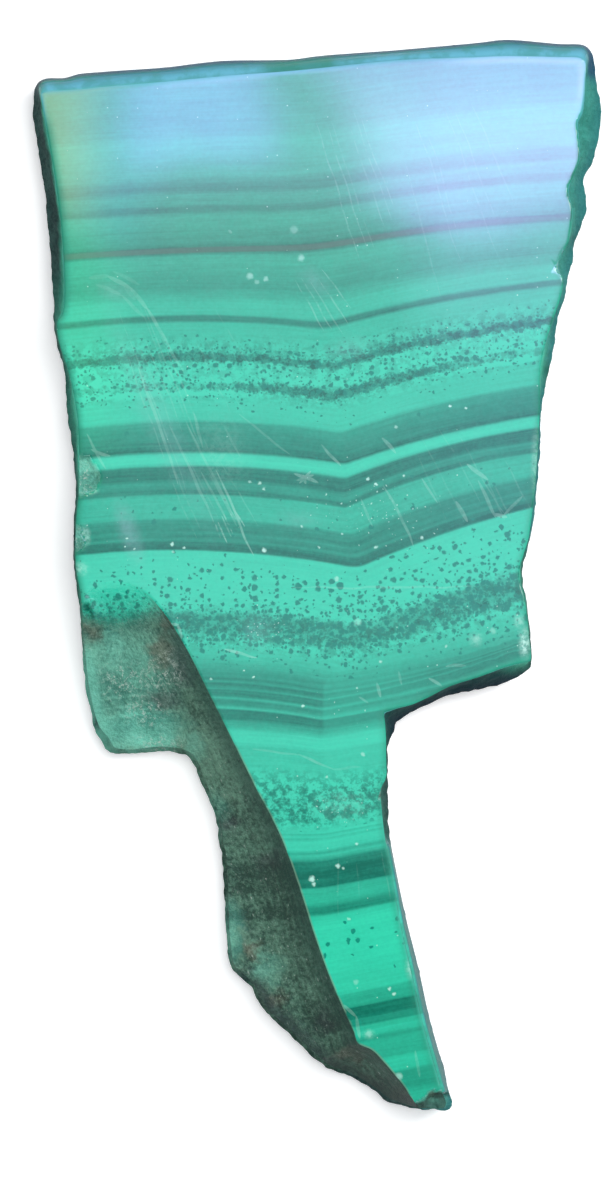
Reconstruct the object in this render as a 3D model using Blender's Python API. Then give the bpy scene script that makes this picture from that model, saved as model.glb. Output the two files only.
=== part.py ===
"""Polished malachite slab: one flat piece of banded stone, lying on its sawn back with the polished face up.

The face is flat.  Round it the broken edge slopes out to a wider girth, and at the lower left a scooped break
runs down from the face, with a second, deeper bite near the tail's tip.
All lists are in millimetres, measured from the middle of the slab; the mesh is made in metres.
"""

import math

import bpy
from mathutils import Vector, noise
from mathutils.geometry import delaunay_2d_cdt

MM = 0.001
NODE = "malachite_slab"

THICKNESS = 9.0
GIRTH_SHARE = 0.52  # height of the widest line of the edge, as a share of the edge's own height
GIRTH_SWAY = 0.12  # how far that share wanders along the edge
FOOT_INSET = 0.6  # the sawn back is about this much smaller than the girth all round
LUMP_SIZE = 3.2  # lumps and hollows of the broken edge: their size and how deep they reach
LUMP_DEPTH = 0.6
NORMAL_REACH = 4  # the edge is hollowed square to a run of this many mesh points either way
SPAN_STEPS = 2  # mesh points per stretch between two stations
WALL_ROWS_ABOVE = 4
WALL_ROWS_BELOW = 4
BREAK_GRID = 1.3  # spacing of the mesh points in the scooped break
FACE_GRID = 7.0  # and on the flat face
CLEAR_OF_LINES = 0.45  # the grid keeps clear of the outline and the break's rim by this share of its spacing

# Stations round the slab, clockwise seen from above.  Each is girth x, y and then the top edge x, y beside it.
POLISHED_EDGE = [
    (-23.9, -3.1, -23.5, -3.1),
    (-24.1, -1.0, -23.8, -1.0),
    (-24.4, 0.7, -24.1, 0.7),
    (-24.4, 5.3, -24.1, 5.3),
    (-24.2, 8.5, -23.8, 8.5),
    (-24.5, 12.5, -23.8, 12.5),
    (-25.0, 16.0, -24.0, 16.0),
    (-25.3, 20.2, -24.8, 20.2),
    (-26.1, 23.3, -25.8, 23.3),
    (-26.4, 25.3, -26.0, 25.2),
    (-26.4, 27.0, -25.4, 26.4),
    (-26.8, 33.0, -25.4, 32.5),
    (-27.4, 38.9, -26.0, 38.3),
    (-28.2, 44.3, -26.8, 43.3),
    (-28.5, 46.3, -27.2, 45.5),
    (-28.4, 48.0, -27.5, 47.3),
    (-28.1, 49.3, -27.5, 48.3),
    (-27.3, 49.8, -26.7, 48.4),
    (-25.3, 49.9, -24.9, 48.5),
    (-23.9, 50.3, -23.5, 48.6),
    (-21.7, 50.5, -21.5, 48.8),
    (-15.7, 50.9, -15.6, 49.3),
    (-9.3, 51.6, -9.3, 49.9),
    (-2.7, 51.7, -2.7, 50.4),
    (0.3, 52.1, 0.3, 50.7),
    (8.3, 52.7, 8.3, 51.5),
    (16.3, 53.4, 16.3, 51.8),
    (19.0, 53.7, 19.0, 51.9),
    (24.3, 53.3, 24.1, 51.8),
    (26.9, 53.1, 26.3, 51.7),
    (27.6, 52.3, 26.8, 51.3),
    (28.0, 49.7, 26.8, 49.1),
    (28.3, 47.9, 26.7, 47.7),
    (28.5, 46.5, 26.5, 46.3),
    (28.4, 45.1, 26.0, 45.2),
    (28.2, 43.7, 26.1, 43.9),
    (27.6, 41.4, 26.2, 41.5),
    (26.7, 39.7, 25.5, 39.6),
    (26.8, 38.9, 25.1, 38.6),
    (27.0, 36.5, 25.5, 36.4),
    (26.3, 34.4, 25.3, 34.3),
    (25.8, 33.4, 25.1, 33.2),
    (25.7, 32.0, 24.4, 32.0),
    (25.4, 30.7, 24.1, 30.7),
    (25.1, 29.3, 24.6, 29.4),
    (24.7, 27.5, 24.3, 27.6),
    (24.2, 25.9, 23.8, 26.1),
    (23.8, 23.0, 22.8, 23.0),
    (23.2, 20.1, 22.3, 20.2),
    (22.6, 17.4, 22.3, 17.4),
    (22.4, 13.0, 22.1, 13.0),
    (22.1, 8.9, 21.8, 8.9),
    (21.7, 5.3, 21.4, 5.3),
    (21.3, 3.5, 21.1, 3.5),
    (20.9, 1.9, 20.6, 1.9),
    (20.6, 0.9, 20.3, 0.8),
    (20.6, -0.7, 20.3, -0.7),
    (20.9, -2.2, 20.7, -2.2),
    (21.4, -6.1, 21.2, -6.1),
    (21.5, -8.9, 21.3, -8.6),
    (20.9, -9.7, 20.4, -8.8),
    (19.2, -10.7, 18.6, -9.3),
    (16.5, -11.4, 16.2, -10.2),
    (13.6, -12.0, 13.4, -11.1),
    (11.0, -13.0, 10.8, -12.4),
    (9.7, -13.7, 9.4, -13.0),
    (8.6, -14.3, 8.1, -13.3),
    (8.0, -14.8, 7.2, -13.6),
    (7.8, -15.4, 6.7, -13.8),
    (7.4, -16.2, 6.8, -14.7),
    (7.1, -17.2, 6.9, -16.3),
    (7.1, -18.3, 6.9, -18.1),
    (7.1, -20.3, 6.9, -20.3),
    (7.1, -21.2, 6.4, -21.3),
    (7.1, -22.5, 6.4, -22.5),
    (7.3, -26.1, 6.8, -26.3),
    (8.0, -30.0, 7.5, -30.2),
    (9.0, -34.7, 8.3, -34.9),
    (10.2, -39.5, 9.4, -39.7),
    (11.3, -44.5, 10.5, -44.7),
    (12.7, -49.5, 11.9, -49.7),
    (13.2, -51.7, 12.5, -51.7),
    (13.6, -52.9, 12.9, -52.8),
    (13.3, -53.6, 12.7, -53.3),
    (12.1, -53.7, 11.7, -53.4),
    (10.3, -53.6, 10.2, -53.3),
]
BROKEN_EDGE = [
    (8.7, -53.3, 8.8, -53.0),
    (7.1, -52.9, 7.3, -52.5),
    (6.2, -52.2, 6.5, -51.9),
    (3.4, -50.4, 3.6, -50.1),
    (2.1, -50.0, 2.3, -49.6),
    (1.1, -49.6, 1.3, -49.2),
    (-0.3, -48.5, 0.0, -48.1),
    (-2.7, -46.2, -2.4, -45.9),
    (-5.2, -43.8, -4.9, -43.5),
    (-6.1, -42.5, -5.7, -42.3),
    (-6.8, -41.2, -6.4, -40.9),
    (-7.7, -40.4, -7.4, -40.0),
    (-8.6, -39.6, -8.2, -39.3),
    (-9.1, -36.8, -8.7, -36.7),
    (-9.3, -32.3, -8.9, -32.3),
    (-9.5, -28.3, -9.1, -28.2),
    (-9.9, -26.5, -9.5, -26.4),
    (-10.0, -25.1, -9.6, -24.9),
    (-10.8, -22.7, -10.4, -22.5),
    (-11.8, -20.4, -11.4, -20.2),
    (-12.4, -18.9, -12.0, -18.6),
    (-13.0, -18.2, -12.7, -17.8),
    (-13.9, -17.9, -13.7, -17.4),
    (-15.7, -17.7, -15.7, -17.2),
    (-19.2, -18.0, -19.0, -17.5),
    (-21.0, -17.7, -20.4, -17.2),
    (-21.6, -16.8, -20.9, -16.3),
    (-22.2, -15.8, -21.7, -15.4),
    (-22.6, -14.4, -22.2, -14.2),
    (-23.3, -10.8, -22.9, -10.8),
    (-23.7, -5.3, -23.4, -5.3),
]

# The rim where the polished face breaks off, from the left edge over the scoop's head and down to the tip.
BREAK_RIM = [
    (-22.9, -1.7),
    (-21.5, -0.8),
    (-19.7, -0.6),
    (-18.3, -1.1),
    (-17.0, -1.9),
    (-15.7, -3.3),
    (-14.4, -5.1),
    (-12.7, -8.0),
    (-11.0, -11.4),
    (-8.6, -16.2),
    (-6.0, -21.5),
    (-4.7, -23.9),
    (-3.3, -26.9),
    (-1.7, -31.4),
    (-0.3, -35.8),
    (1.2, -40.0),
    (2.6, -43.3),
    (3.7, -45.7),
    (4.1, -46.8),
    (5.5, -47.5),
    (6.7, -48.7),
    (7.8, -50.0),
    (8.7, -51.1),
    (9.4, -52.2),
]
# The scoop at each y: how deep its floor lies, and how far from the rim the slope takes to get there.
SCOOP = [
    (-0.6, 0.0, 4.0),
    (-3.0, 0.8, 5.0),
    (-6.5, 2.2, 7.0),
    (-10.5, 3.3, 9.0),
    (-14.5, 4.0, 9.0),
    (-20.0, 4.3, 7.0),
    (-35.0, 4.4, 6.5),
    (-43.0, 3.9, 6.0),
    (-47.0, 3.5, 4.5),
    (-54.0, 3.5, 4.0),
]
BITE_CENTRE = Vector((2.4, -55.4))
BITE_RADIUS = 8.8
BITE_DEPTH = 5.4
BITE_SLOPE = 4.0

# Chips broken out of the polished edge: centre x, y, half sizes along x and y, depth.
CHIPS = [
    (-23.3, 10.3, 1.6, 2.1, 0.6),
    (7.2, -21.7, 0.9, 0.8, 1.0),
    (12.2, -54.0, 2.3, 2.1, 1.3),
]
CHIP_RING_POINTS = 10
CHIP_RINGS = (0.55, 0.95)

MALACHITE = (0.03, 0.42, 0.29, 1.0)
MALACHITE_ROUGHNESS = 0.25


def smooth_curve(points, steps, closed):
    """Points on a centripetal Catmull-Rom curve through the given ones, of any number of coordinates."""
    count = len(points)
    spans = count if closed else count - 1
    found = []
    for i in range(spans):
        if closed:
            p0, p1, p2, p3 = (points[(i + k) % count] for k in (-1, 0, 1, 2))
        else:
            p0, p1, p2, p3 = (points[min(max(i + k, 0), count - 1)] for k in (-1, 0, 1, 2))
        t1 = max(math.dist(p0[:2], p1[:2]), 1e-6) ** 0.5
        t2 = t1 + max(math.dist(p1[:2], p2[:2]), 1e-6) ** 0.5
        t3 = t2 + max(math.dist(p2[:2], p3[:2]), 1e-6) ** 0.5
        for k in range(steps):
            t = t1 + (t2 - t1) * k / steps
            a1 = mixed(p0, p1, t / t1)
            a2 = mixed(p1, p2, (t - t1) / (t2 - t1))
            a3 = mixed(p2, p3, (t - t2) / (t3 - t2))
            b1 = mixed(a1, a2, t / t2)
            b2 = mixed(a2, a3, (t - t1) / (t3 - t1))
            found.append(mixed(b1, b2, (t - t1) / (t2 - t1)))
    if not closed:
        found.append(tuple(points[-1]))
    return found


def mixed(a, b, share):
    return tuple(x + (y - x) * share for x, y in zip(a, b))


def read_scoop(y):
    """Floor depth and slope width of the scoop at this y, between the rows of SCOOP."""
    if y >= SCOOP[0][0]:
        return SCOOP[0][1:]
    for (y0, *upper), (y1, *lower) in zip(SCOOP, SCOOP[1:]):
        if y >= y1:
            return mixed(upper, lower, (y0 - y) / (y0 - y1))
    return SCOOP[-1][1:]


def distance_to(line, x, y):
    """Distance from a point to an open run of straight stretches."""
    best = math.inf
    for (ax, ay), (bx, by) in zip(line, line[1:]):
        dx, dy = bx - ax, by - ay
        along = ((x - ax) * dx + (y - ay) * dy) / (dx * dx + dy * dy)
        along = min(max(along, 0.0), 1.0)
        best = min(best, math.hypot(x - ax - along * dx, y - ay - along * dy))
    return best


def inside(polygon, x, y):
    found = False
    for (ax, ay), (bx, by) in zip(polygon, polygon[1:] + polygon[:1]):
        if (ay > y) != (by > y) and x < ax + (y - ay) * (bx - ax) / (by - ay):
            found = not found
    return found


def settling(share):
    """From 0 at the rim to 1 on the floor, steepest at the rim."""
    return 1.0 - (1.0 - min(max(share, 0.0), 1.0)) ** 2


def break_depth(rim, x, y):
    """How far the broken surface lies below the face, at a point on its side of the rim."""
    from_rim = distance_to(rim, x, y)
    floor, slope = read_scoop(y)
    scoop = floor * settling(from_rim / slope)
    into_bite = min(from_rim, BITE_RADIUS - math.dist((x, y), BITE_CENTRE))
    return max(scoop, BITE_DEPTH * settling(into_bite / BITE_SLOPE))


def chip_depth(x, y):
    found = 0.0
    for cx, cy, half_x, half_y, depth in CHIPS:
        reach = ((x - cx) / half_x) ** 2 + ((y - cy) / half_y) ** 2
        found = max(found, depth * (1.0 - reach))
    return found


def grid_points(polygon, lines, spacing):
    """Staggered points inside a polygon that keep clear of some lines."""
    clear = CLEAR_OF_LINES * spacing
    xs, ys = zip(*polygon)
    rows = int((max(ys) - min(ys)) / (spacing * 0.87)) + 1
    columns = int((max(xs) - min(xs)) / spacing) + 2
    found = []
    for row in range(rows):
        y = min(ys) + row * spacing * 0.87
        for column in range(columns):
            x = min(xs) + (column + 0.5 * (row % 2)) * spacing
            if inside(polygon, x, y) and all(distance_to(line, x, y) > clear for line in lines):
                found.append((x, y))
    return found


def chip_points(polygon, edge):
    """Points on and inside each chip's outline, where they fall on the top surface."""
    found = []
    for cx, cy, half_x, half_y, _ in CHIPS:
        for ring in CHIP_RINGS:
            for k in range(CHIP_RING_POINTS):
                turn = 2 * math.pi * k / CHIP_RING_POINTS
                x = cx + ring * half_x * math.cos(turn)
                y = cy + ring * half_y * math.sin(turn)
                if inside(polygon, x, y) and distance_to(edge, x, y) > 0.3:
                    found.append((x, y))
    return found


def lump(x, y, z):
    """How far the broken edge is hollowed at a point, between nothing and LUMP_DEPTH."""
    return LUMP_DEPTH * (0.5 + 0.5 * noise.noise(Vector((x, y, z)) / LUMP_SIZE))


def outward_normals(loop):
    """Unit vectors pointing out of a clockwise loop at each of its points, gentle round its corners."""
    count = len(loop)
    sides = []
    for (ax, ay), (bx, by) in zip(loop, loop[1:] + loop[:1]):
        sides.append(Vector((ay - by, bx - ax)).normalized())
    found = []
    for i in range(count):
        nearby = [sides[(i + k) % count] for k in range(-NORMAL_REACH, NORMAL_REACH)]
        found.append(sum(nearby, Vector((0.0, 0.0))).normalized())
    return found


def upward_triangles(points, lines, outline):
    """A flat surface through all the points that keeps the lines: its points, triangles and point sources."""
    points, _, faces, came_from, _, _ = delaunay_2d_cdt(
        [Vector(p) for p in points], lines, [outline], 1, 1e-5
    )
    triangles = []
    for a, b, c in faces:
        up = (points[b] - points[a]).cross(points[c] - points[a]) > 0
        triangles.append((a, b, c) if up else (a, c, b))
    return points, triangles, came_from


def slab_mesh():
    polished_points = len(POLISHED_EDGE) * SPAN_STEPS
    stations = smooth_curve(POLISHED_EDGE + BROKEN_EDGE, SPAN_STEPS, closed=True)
    girth = [s[:2] for s in stations]
    edge = [s[2:] for s in stations]
    last_polished = polished_points - SPAN_STEPS
    rim = smooth_curve([edge[0], *BREAK_RIM, edge[last_polished]], SPAN_STEPS, closed=False)
    break_outline = edge[last_polished:] + rim[:-1]

    closed_edge = edge + edge[:1]
    face_outline = edge[:last_polished] + rim[:0:-1]
    inner_points = grid_points(break_outline, [closed_edge, rim], BREAK_GRID)
    inner_points += grid_points(face_outline, [closed_edge, rim], FACE_GRID)
    inner_points += chip_points(edge, closed_edge)
    flat = edge + rim[1:-1] + inner_points
    count = len(edge)
    rim_ids = [0, *range(count, count + len(rim) - 2), last_polished]
    rim_edges = list(zip(rim_ids, rim_ids[1:]))
    points, triangles, came_from = upward_triangles(flat, rim_edges, list(range(count)))
    on_rim = set(rim_ids)
    made = {old: new for new, olds in enumerate(came_from) for old in olds}

    def top_height(index, x, y):
        depth = chip_depth(x, y)
        broken = last_polished < index < count or (index >= count and inside(break_outline, x, y))
        if broken and index not in on_rim:
            depth = max(depth, break_depth(rim, x, y))
        return THICKNESS - depth

    vertices = [
        (p.x, p.y, top_height(olds[0] if olds else count, p.x, p.y))
        for p, olds in zip(points, came_from)
    ]

    normals = outward_normals(girth)
    rows = [[made[i] for i in range(count)]]
    top = [vertices[i][2] for i in rows[0]]
    heights = [
        t * (GIRTH_SHARE + GIRTH_SWAY * noise.noise(Vector((x, y, 0.0)) / (2 * LUMP_SIZE)))
        for t, (x, y) in zip(top, girth)
    ]
    for k in range(1, WALL_ROWS_ABOVE + 1):
        turn = 0.5 * math.pi * k / WALL_ROWS_ABOVE
        row = []
        for i in range(count):
            rounded = max(0.0, normals[i].y)  # the upper edge rolls over, the others slope straight out
            straight = k / WALL_ROWS_ABOVE
            out = straight + (math.sin(turn) - straight) * rounded
            down = straight + (1.0 - math.cos(turn) - straight) * rounded
            z = top[i] + (heights[i] - top[i]) * down
            x, y = mixed(edge[i], girth[i], out)
            hollow = lump(x, y, z) * 3.0 * straight * (1.0 - straight) * (1.0 - rounded)
            row.append(len(vertices))
            vertices.append((x - normals[i].x * hollow, y - normals[i].y * hollow, z))
        rows.append(row)
    for k in range(1, WALL_ROWS_BELOW + 1):
        share = k / WALL_ROWS_BELOW
        row = []
        for i in range(count):
            z = heights[i] * (1.0 - share)
            inset = FOOT_INSET * share * share + lump(*girth[i], z) * share
            x, y = Vector(girth[i]) - normals[i] * inset
            row.append(len(vertices))
            vertices.append((x, y, z))
        rows.append(row)
    for upper, lower in zip(rows, rows[1:]):
        for i in range(count):
            j = (i + 1) % count
            triangles.append((upper[i], upper[j], lower[j]))
            triangles.append((upper[i], lower[j], lower[i]))
    foot = rows[-1]
    back = grid_points([vertices[i][:2] for i in foot], [closed_edge], FACE_GRID)
    foot_points = [vertices[i][:2] for i in foot] + back
    _, back_triangles, _ = upward_triangles(foot_points, [], list(range(count)))
    back_ids = foot + list(range(len(vertices), len(vertices) + len(back)))
    vertices += [(x, y, 0.0) for x, y in back]
    triangles += [(back_ids[a], back_ids[c], back_ids[b]) for a, b, c in back_triangles]

    low = [min(v[axis] for v in vertices) for axis in (0, 1)]
    high = [max(v[axis] for v in vertices) for axis in (0, 1)]
    middle = ((low[0] + high[0]) / 2, (low[1] + high[1]) / 2)
    placed = [((x - middle[0]) * MM, (y - middle[1]) * MM, z * MM) for x, y, z in vertices]
    mesh = bpy.data.meshes.new(NODE)
    mesh.from_pydata(placed, [], triangles)
    mesh.validate()
    return mesh


def stone_material():
    material = bpy.data.materials.new("malachite")
    material.use_nodes = True
    shader = material.node_tree.nodes["Principled BSDF"]
    shader.inputs["Base Color"].default_value = MALACHITE
    shader.inputs["Roughness"].default_value = MALACHITE_ROUGHNESS
    return material


def main():
    for old in list(bpy.data.objects):
        bpy.data.objects.remove(old)
    mesh = slab_mesh()
    mesh.shade_smooth()
    mesh.set_sharp_from_angle(angle=math.radians(25))
    slab = bpy.data.objects.new(NODE, mesh)
    slab.data.materials.append(stone_material())
    bpy.context.scene.collection.objects.link(slab)


main()
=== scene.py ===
"""The looks of the polished malachite slab: its stone, floor, light and camera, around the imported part.

The stone lies on its sawn back with the polished face up.  Its outline and its break repeat the part's own
named values, in millimetres from the middle of the slab, and the mesh here is finer.  The bands are growth
layers folded in a V: two limbs meet along a hinge that runs down the face.  Every point of the stone gets its
place in the layers on both limbs, and the materials turn that into colour.  So the layers go on round the
edges and into the break.
"""

import math

import bpy
import numpy as np
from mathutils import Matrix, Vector, noise
from mathutils.geometry import delaunay_2d_cdt


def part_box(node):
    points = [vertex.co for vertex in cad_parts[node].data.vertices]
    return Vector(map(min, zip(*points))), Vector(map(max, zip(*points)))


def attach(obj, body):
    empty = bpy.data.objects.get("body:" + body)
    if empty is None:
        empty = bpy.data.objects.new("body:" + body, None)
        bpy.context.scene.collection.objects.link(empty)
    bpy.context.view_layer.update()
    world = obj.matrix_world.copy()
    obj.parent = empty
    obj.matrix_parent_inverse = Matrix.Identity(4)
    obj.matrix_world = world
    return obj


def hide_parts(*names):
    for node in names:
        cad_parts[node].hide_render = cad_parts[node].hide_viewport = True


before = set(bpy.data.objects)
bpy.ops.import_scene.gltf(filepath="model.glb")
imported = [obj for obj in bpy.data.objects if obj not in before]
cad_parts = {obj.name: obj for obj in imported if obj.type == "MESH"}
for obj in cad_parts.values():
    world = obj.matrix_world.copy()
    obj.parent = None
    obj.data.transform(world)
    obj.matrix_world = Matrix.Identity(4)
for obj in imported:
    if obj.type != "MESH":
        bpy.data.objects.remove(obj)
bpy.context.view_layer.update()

MM = 0.001
CAD_NODE = "malachite_slab"
STONE_NAME = "malachite_slab_stone"
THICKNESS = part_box(CAD_NODE)[1].z / MM

# Mesh spacings
EDGE_STEP = 0.32
FACE_GRID = 0.95
BREAK_GRID = 0.3
ROW_SHARE = 0.87  # the grids are staggered, and their rows lie this share of the spacing apart
CLEAR_OF_LINES = 0.4  # the share of their spacing by which the grids keep clear of outline and rim
POINTS_AT_ONCE = 1500  # about how many points are measured together
SHARP_ANGLE = 42  # edges of the mesh that turn by more degrees than this are sharp
WALL_ROWS_ABOVE = 12
WALL_ROWS_BELOW = 12

# The broken edge
GIRTH_SHARE = 0.52  # height of the widest line of the edge, as a share of the edge's own height
GIRTH_SWAY = 0.12  # how far that share wanders along the edge
FOOT_INSET = 0.6  # the sawn back is about this much smaller than the girth all round
LUMP_SIZE = 3.2
LUMP_DEPTH = 0.6
GRAIN_SIZE = 0.9  # the fine roughness of broken stone
GRAIN_DEPTH = 0.16
NORMAL_REACH = 4.0  # the edge is hollowed square to a run of about this length
RIM_ROUND = 0.12  # the polished face is rounded off by this much along its edges
RIM_DROP = 0.06
LEVEL_MARGIN = 0.14  # the face is level again this far inside the rounding
ROLL_ROUND = 0.26  # and by this much more where the edge is rolled over
ROLL_DROP = 0.035
FACE_SLACK = 0.2  # where the edge's top is this near the face's height, the face isn't broken off there
ROLL_FACING = (1.4, -0.2)  # how the rolled share grows as the edge faces along y
CRISP_RIM = (-3.5, -0.6)  # the break's rim is crisp below the first y and has faded out above the second
CHIP_GRID = 0.2
CHIP_WAVER = 0.5  # how far the outlines of chips waver
CHIP_WAVER_SIZE = 1.1
CHIP_LUMP_SIZE = 0.8
CHIP_RAW_DEPTH = 0.25  # a chip this deep shows nothing but raw stone
CHIP_SEEN = 0.02  # a shallower one doesn't show
BEVEL_WIDTH = 0.35  # the narrow polished bevel down the tail's right edge
BEVEL_DROP = 0.4
BEVEL_SHARE = 0.4  # the share of the rows above the girth that it takes up
BEVEL_END = (6.5, -26.0)

# Stations round the slab, clockwise seen from above: girth x, y and then the top edge x, y beside it.
POLISHED_EDGE = [
    (-23.9, -3.1, -23.5, -3.1), (-24.1, -1.0, -23.8, -1.0), (-24.4, 0.7, -24.1, 0.7),
    (-24.4, 5.3, -24.1, 5.3), (-24.2, 8.5, -23.8, 8.5), (-24.5, 12.5, -23.8, 12.5),
    (-25.0, 16.0, -24.0, 16.0), (-25.3, 20.2, -24.8, 20.2), (-26.1, 23.3, -25.8, 23.3),
    (-26.4, 25.3, -26.0, 25.2), (-26.4, 27.0, -25.4, 26.4), (-26.8, 33.0, -25.4, 32.5),
    (-27.4, 38.9, -26.0, 38.3), (-28.2, 44.3, -26.8, 43.3), (-28.5, 46.3, -27.2, 45.5),
    (-28.4, 48.0, -27.5, 47.3), (-28.1, 49.3, -27.5, 48.3), (-27.3, 49.8, -26.7, 48.4),
    (-25.3, 49.9, -24.9, 48.5), (-23.9, 50.3, -23.5, 48.6), (-21.7, 50.5, -21.5, 48.8),
    (-15.7, 50.9, -15.6, 49.3), (-9.3, 51.6, -9.3, 49.9), (-2.7, 51.7, -2.7, 50.4),
    (0.3, 52.1, 0.3, 50.7), (8.3, 52.7, 8.3, 51.5), (16.3, 53.4, 16.3, 51.8), (19.0, 53.7, 19.0, 51.9),
    (24.3, 53.3, 24.1, 51.8), (26.9, 53.1, 26.3, 51.7), (27.6, 52.3, 26.8, 51.3),
    (28.0, 49.7, 26.8, 49.1), (28.3, 47.9, 26.7, 47.7), (28.5, 46.5, 26.5, 46.3),
    (28.4, 45.1, 26.0, 45.2), (28.2, 43.7, 26.1, 43.9), (27.6, 41.4, 26.2, 41.5),
    (26.7, 39.7, 25.5, 39.6), (26.8, 38.9, 25.1, 38.6), (27.0, 36.5, 25.5, 36.4),
    (26.3, 34.4, 25.3, 34.3), (25.8, 33.4, 25.1, 33.2), (25.7, 32.0, 24.4, 32.0),
    (25.4, 30.7, 24.1, 30.7), (25.1, 29.3, 24.6, 29.4), (24.7, 27.5, 24.3, 27.6),
    (24.2, 25.9, 23.8, 26.1), (23.8, 23.0, 22.8, 23.0), (23.2, 20.1, 22.3, 20.2),
    (22.6, 17.4, 22.3, 17.4), (22.4, 13.0, 22.1, 13.0), (22.1, 8.9, 21.8, 8.9), (21.7, 5.3, 21.4, 5.3),
    (21.3, 3.5, 21.1, 3.5), (20.9, 1.9, 20.6, 1.9), (20.6, 0.9, 20.3, 0.8), (20.6, -0.7, 20.3, -0.7),
    (20.9, -2.2, 20.7, -2.2), (21.4, -6.1, 21.2, -6.1), (21.5, -8.9, 21.3, -8.6),
    (20.9, -9.7, 20.4, -8.8), (19.2, -10.7, 18.6, -9.3), (16.5, -11.4, 16.2, -10.2),
    (13.6, -12.0, 13.4, -11.1), (11.0, -13.0, 10.8, -12.4), (9.7, -13.7, 9.4, -13.0),
    (8.6, -14.3, 8.1, -13.3), (8.0, -14.8, 7.2, -13.6), (7.8, -15.4, 6.7, -13.8),
    (7.4, -16.2, 6.8, -14.7), (7.1, -17.2, 6.9, -16.3), (7.1, -18.3, 6.9, -18.1),
    (7.1, -20.3, 6.9, -20.3), (7.1, -21.2, 6.4, -21.3), (7.1, -22.5, 6.4, -22.5),
    (7.3, -26.1, 6.8, -26.3), (8.0, -30.0, 7.5, -30.2), (9.0, -34.7, 8.3, -34.9),
    (10.2, -39.5, 9.4, -39.7), (11.3, -44.5, 10.5, -44.7), (12.7, -49.5, 11.9, -49.7),
    (13.2, -51.7, 12.5, -51.7), (13.6, -52.9, 12.9, -52.8), (13.3, -53.6, 12.7, -53.3),
    (12.1, -53.7, 11.7, -53.4), (10.3, -53.6, 10.2, -53.3),
]
BROKEN_EDGE = [
    (8.7, -53.3, 8.8, -53.0), (7.1, -52.9, 7.3, -52.5), (6.2, -52.2, 6.5, -51.9),
    (3.4, -50.4, 3.6, -50.1), (2.1, -50.0, 2.3, -49.6), (1.1, -49.6, 1.3, -49.2),
    (-0.3, -48.5, 0.0, -48.1), (-2.7, -46.2, -2.4, -45.9), (-5.2, -43.8, -4.9, -43.5),
    (-6.1, -42.5, -5.7, -42.3), (-6.8, -41.2, -6.4, -40.9), (-7.7, -40.4, -7.4, -40.0),
    (-8.6, -39.6, -8.2, -39.3), (-9.1, -36.8, -8.7, -36.7), (-9.3, -32.3, -8.9, -32.3),
    (-9.5, -28.3, -9.1, -28.2), (-9.9, -26.5, -9.5, -26.4), (-10.0, -25.1, -9.6, -24.9),
    (-10.8, -22.7, -10.4, -22.5), (-11.8, -20.4, -11.4, -20.2), (-12.4, -18.9, -12.0, -18.6),
    (-13.0, -18.2, -12.7, -17.8), (-13.9, -17.9, -13.7, -17.4), (-15.7, -17.7, -15.7, -17.2),
    (-19.2, -18.0, -19.0, -17.5), (-21.0, -17.7, -20.4, -17.2), (-21.6, -16.8, -20.9, -16.3),
    (-22.2, -15.8, -21.7, -15.4), (-22.6, -14.4, -22.2, -14.2), (-23.3, -10.8, -22.9, -10.8),
    (-23.7, -5.3, -23.4, -5.3),
]

# The rim where the polished face breaks off, from the left edge over the scoop's head and down to the tip.
BREAK_RIM = [
    (-22.9, -1.7), (-21.5, -0.8), (-19.7, -0.6), (-18.3, -1.1), (-17.0, -1.9), (-15.7, -3.3),
    (-14.4, -5.1), (-12.7, -8.0), (-11.0, -11.4), (-8.6, -16.2), (-6.0, -21.5), (-4.7, -23.9),
    (-3.3, -26.9), (-1.7, -31.4), (-0.3, -35.8), (1.2, -40.0), (2.6, -43.3), (3.7, -45.7), (4.1, -46.8),
    (5.5, -47.5), (6.7, -48.7), (7.8, -50.0), (8.7, -51.1), (9.4, -52.2),
]
# The scoop at each y: how deep its floor lies, and how far from the rim the slope takes to get there.
SCOOP = [
    (-0.6, 0.0, 4.0), (-3.0, 0.8, 5.0), (-6.5, 2.2, 7.0), (-10.5, 3.3, 9.0), (-14.5, 4.0, 9.0),
    (-20.0, 4.3, 7.0), (-35.0, 4.4, 6.5), (-43.0, 3.9, 6.0), (-47.0, 3.5, 4.5), (-54.0, 3.5, 4.0),
]
BITE_CENTRE = Vector((2.4, -55.4))
BITE_RADIUS = 8.8
BITE_DEPTH = 5.4
BITE_SLOPE = 4.0
RAW_FLOOR = 1.6  # where the scoop's floor lies this deep, the stone there is raw all over
BREAK_LUMP_SIZE = 1.6
BREAK_LUMP_DEPTH = 0.2
BREAK_GRAIN_SIZE = 0.7
BREAK_GRAIN_DEPTH = 0.06
BREAK_STRETCH = 3.0  # its lumps are this many times longer along the rim than across it

# Chips broken out of the polished edge: centre x, y, half sizes along x and y, depth.
CHIPS = [
    (-23.3, 10.0, 1.6, 2.3, 0.4), (-24.0, 3.7, 0.7, 1.7, 0.2), (-23.1, -4.9, 1.2, 2.3, 0.9),
    (26.8, 44.6, 0.8, 0.9, 0.4), (25.7, 38.4, 0.7, 1.0, 0.25), (24.6, 30.9, 0.5, 1.6, 0.15),
    (6.9, -21.8, 0.7, 0.8, 1.0), (12.2, -54.0, 2.6, 2.3, 0.7),
]

# Growth layers.  A level is a depth in mm below this height, measured at the hinge.
LEVEL_ZERO = 57.5
LAYER_DIP = 0.12  # how far the layers move along y for each mm into the stone
BROWN_LEVEL = 24.85  # a brown seam lies here
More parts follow.
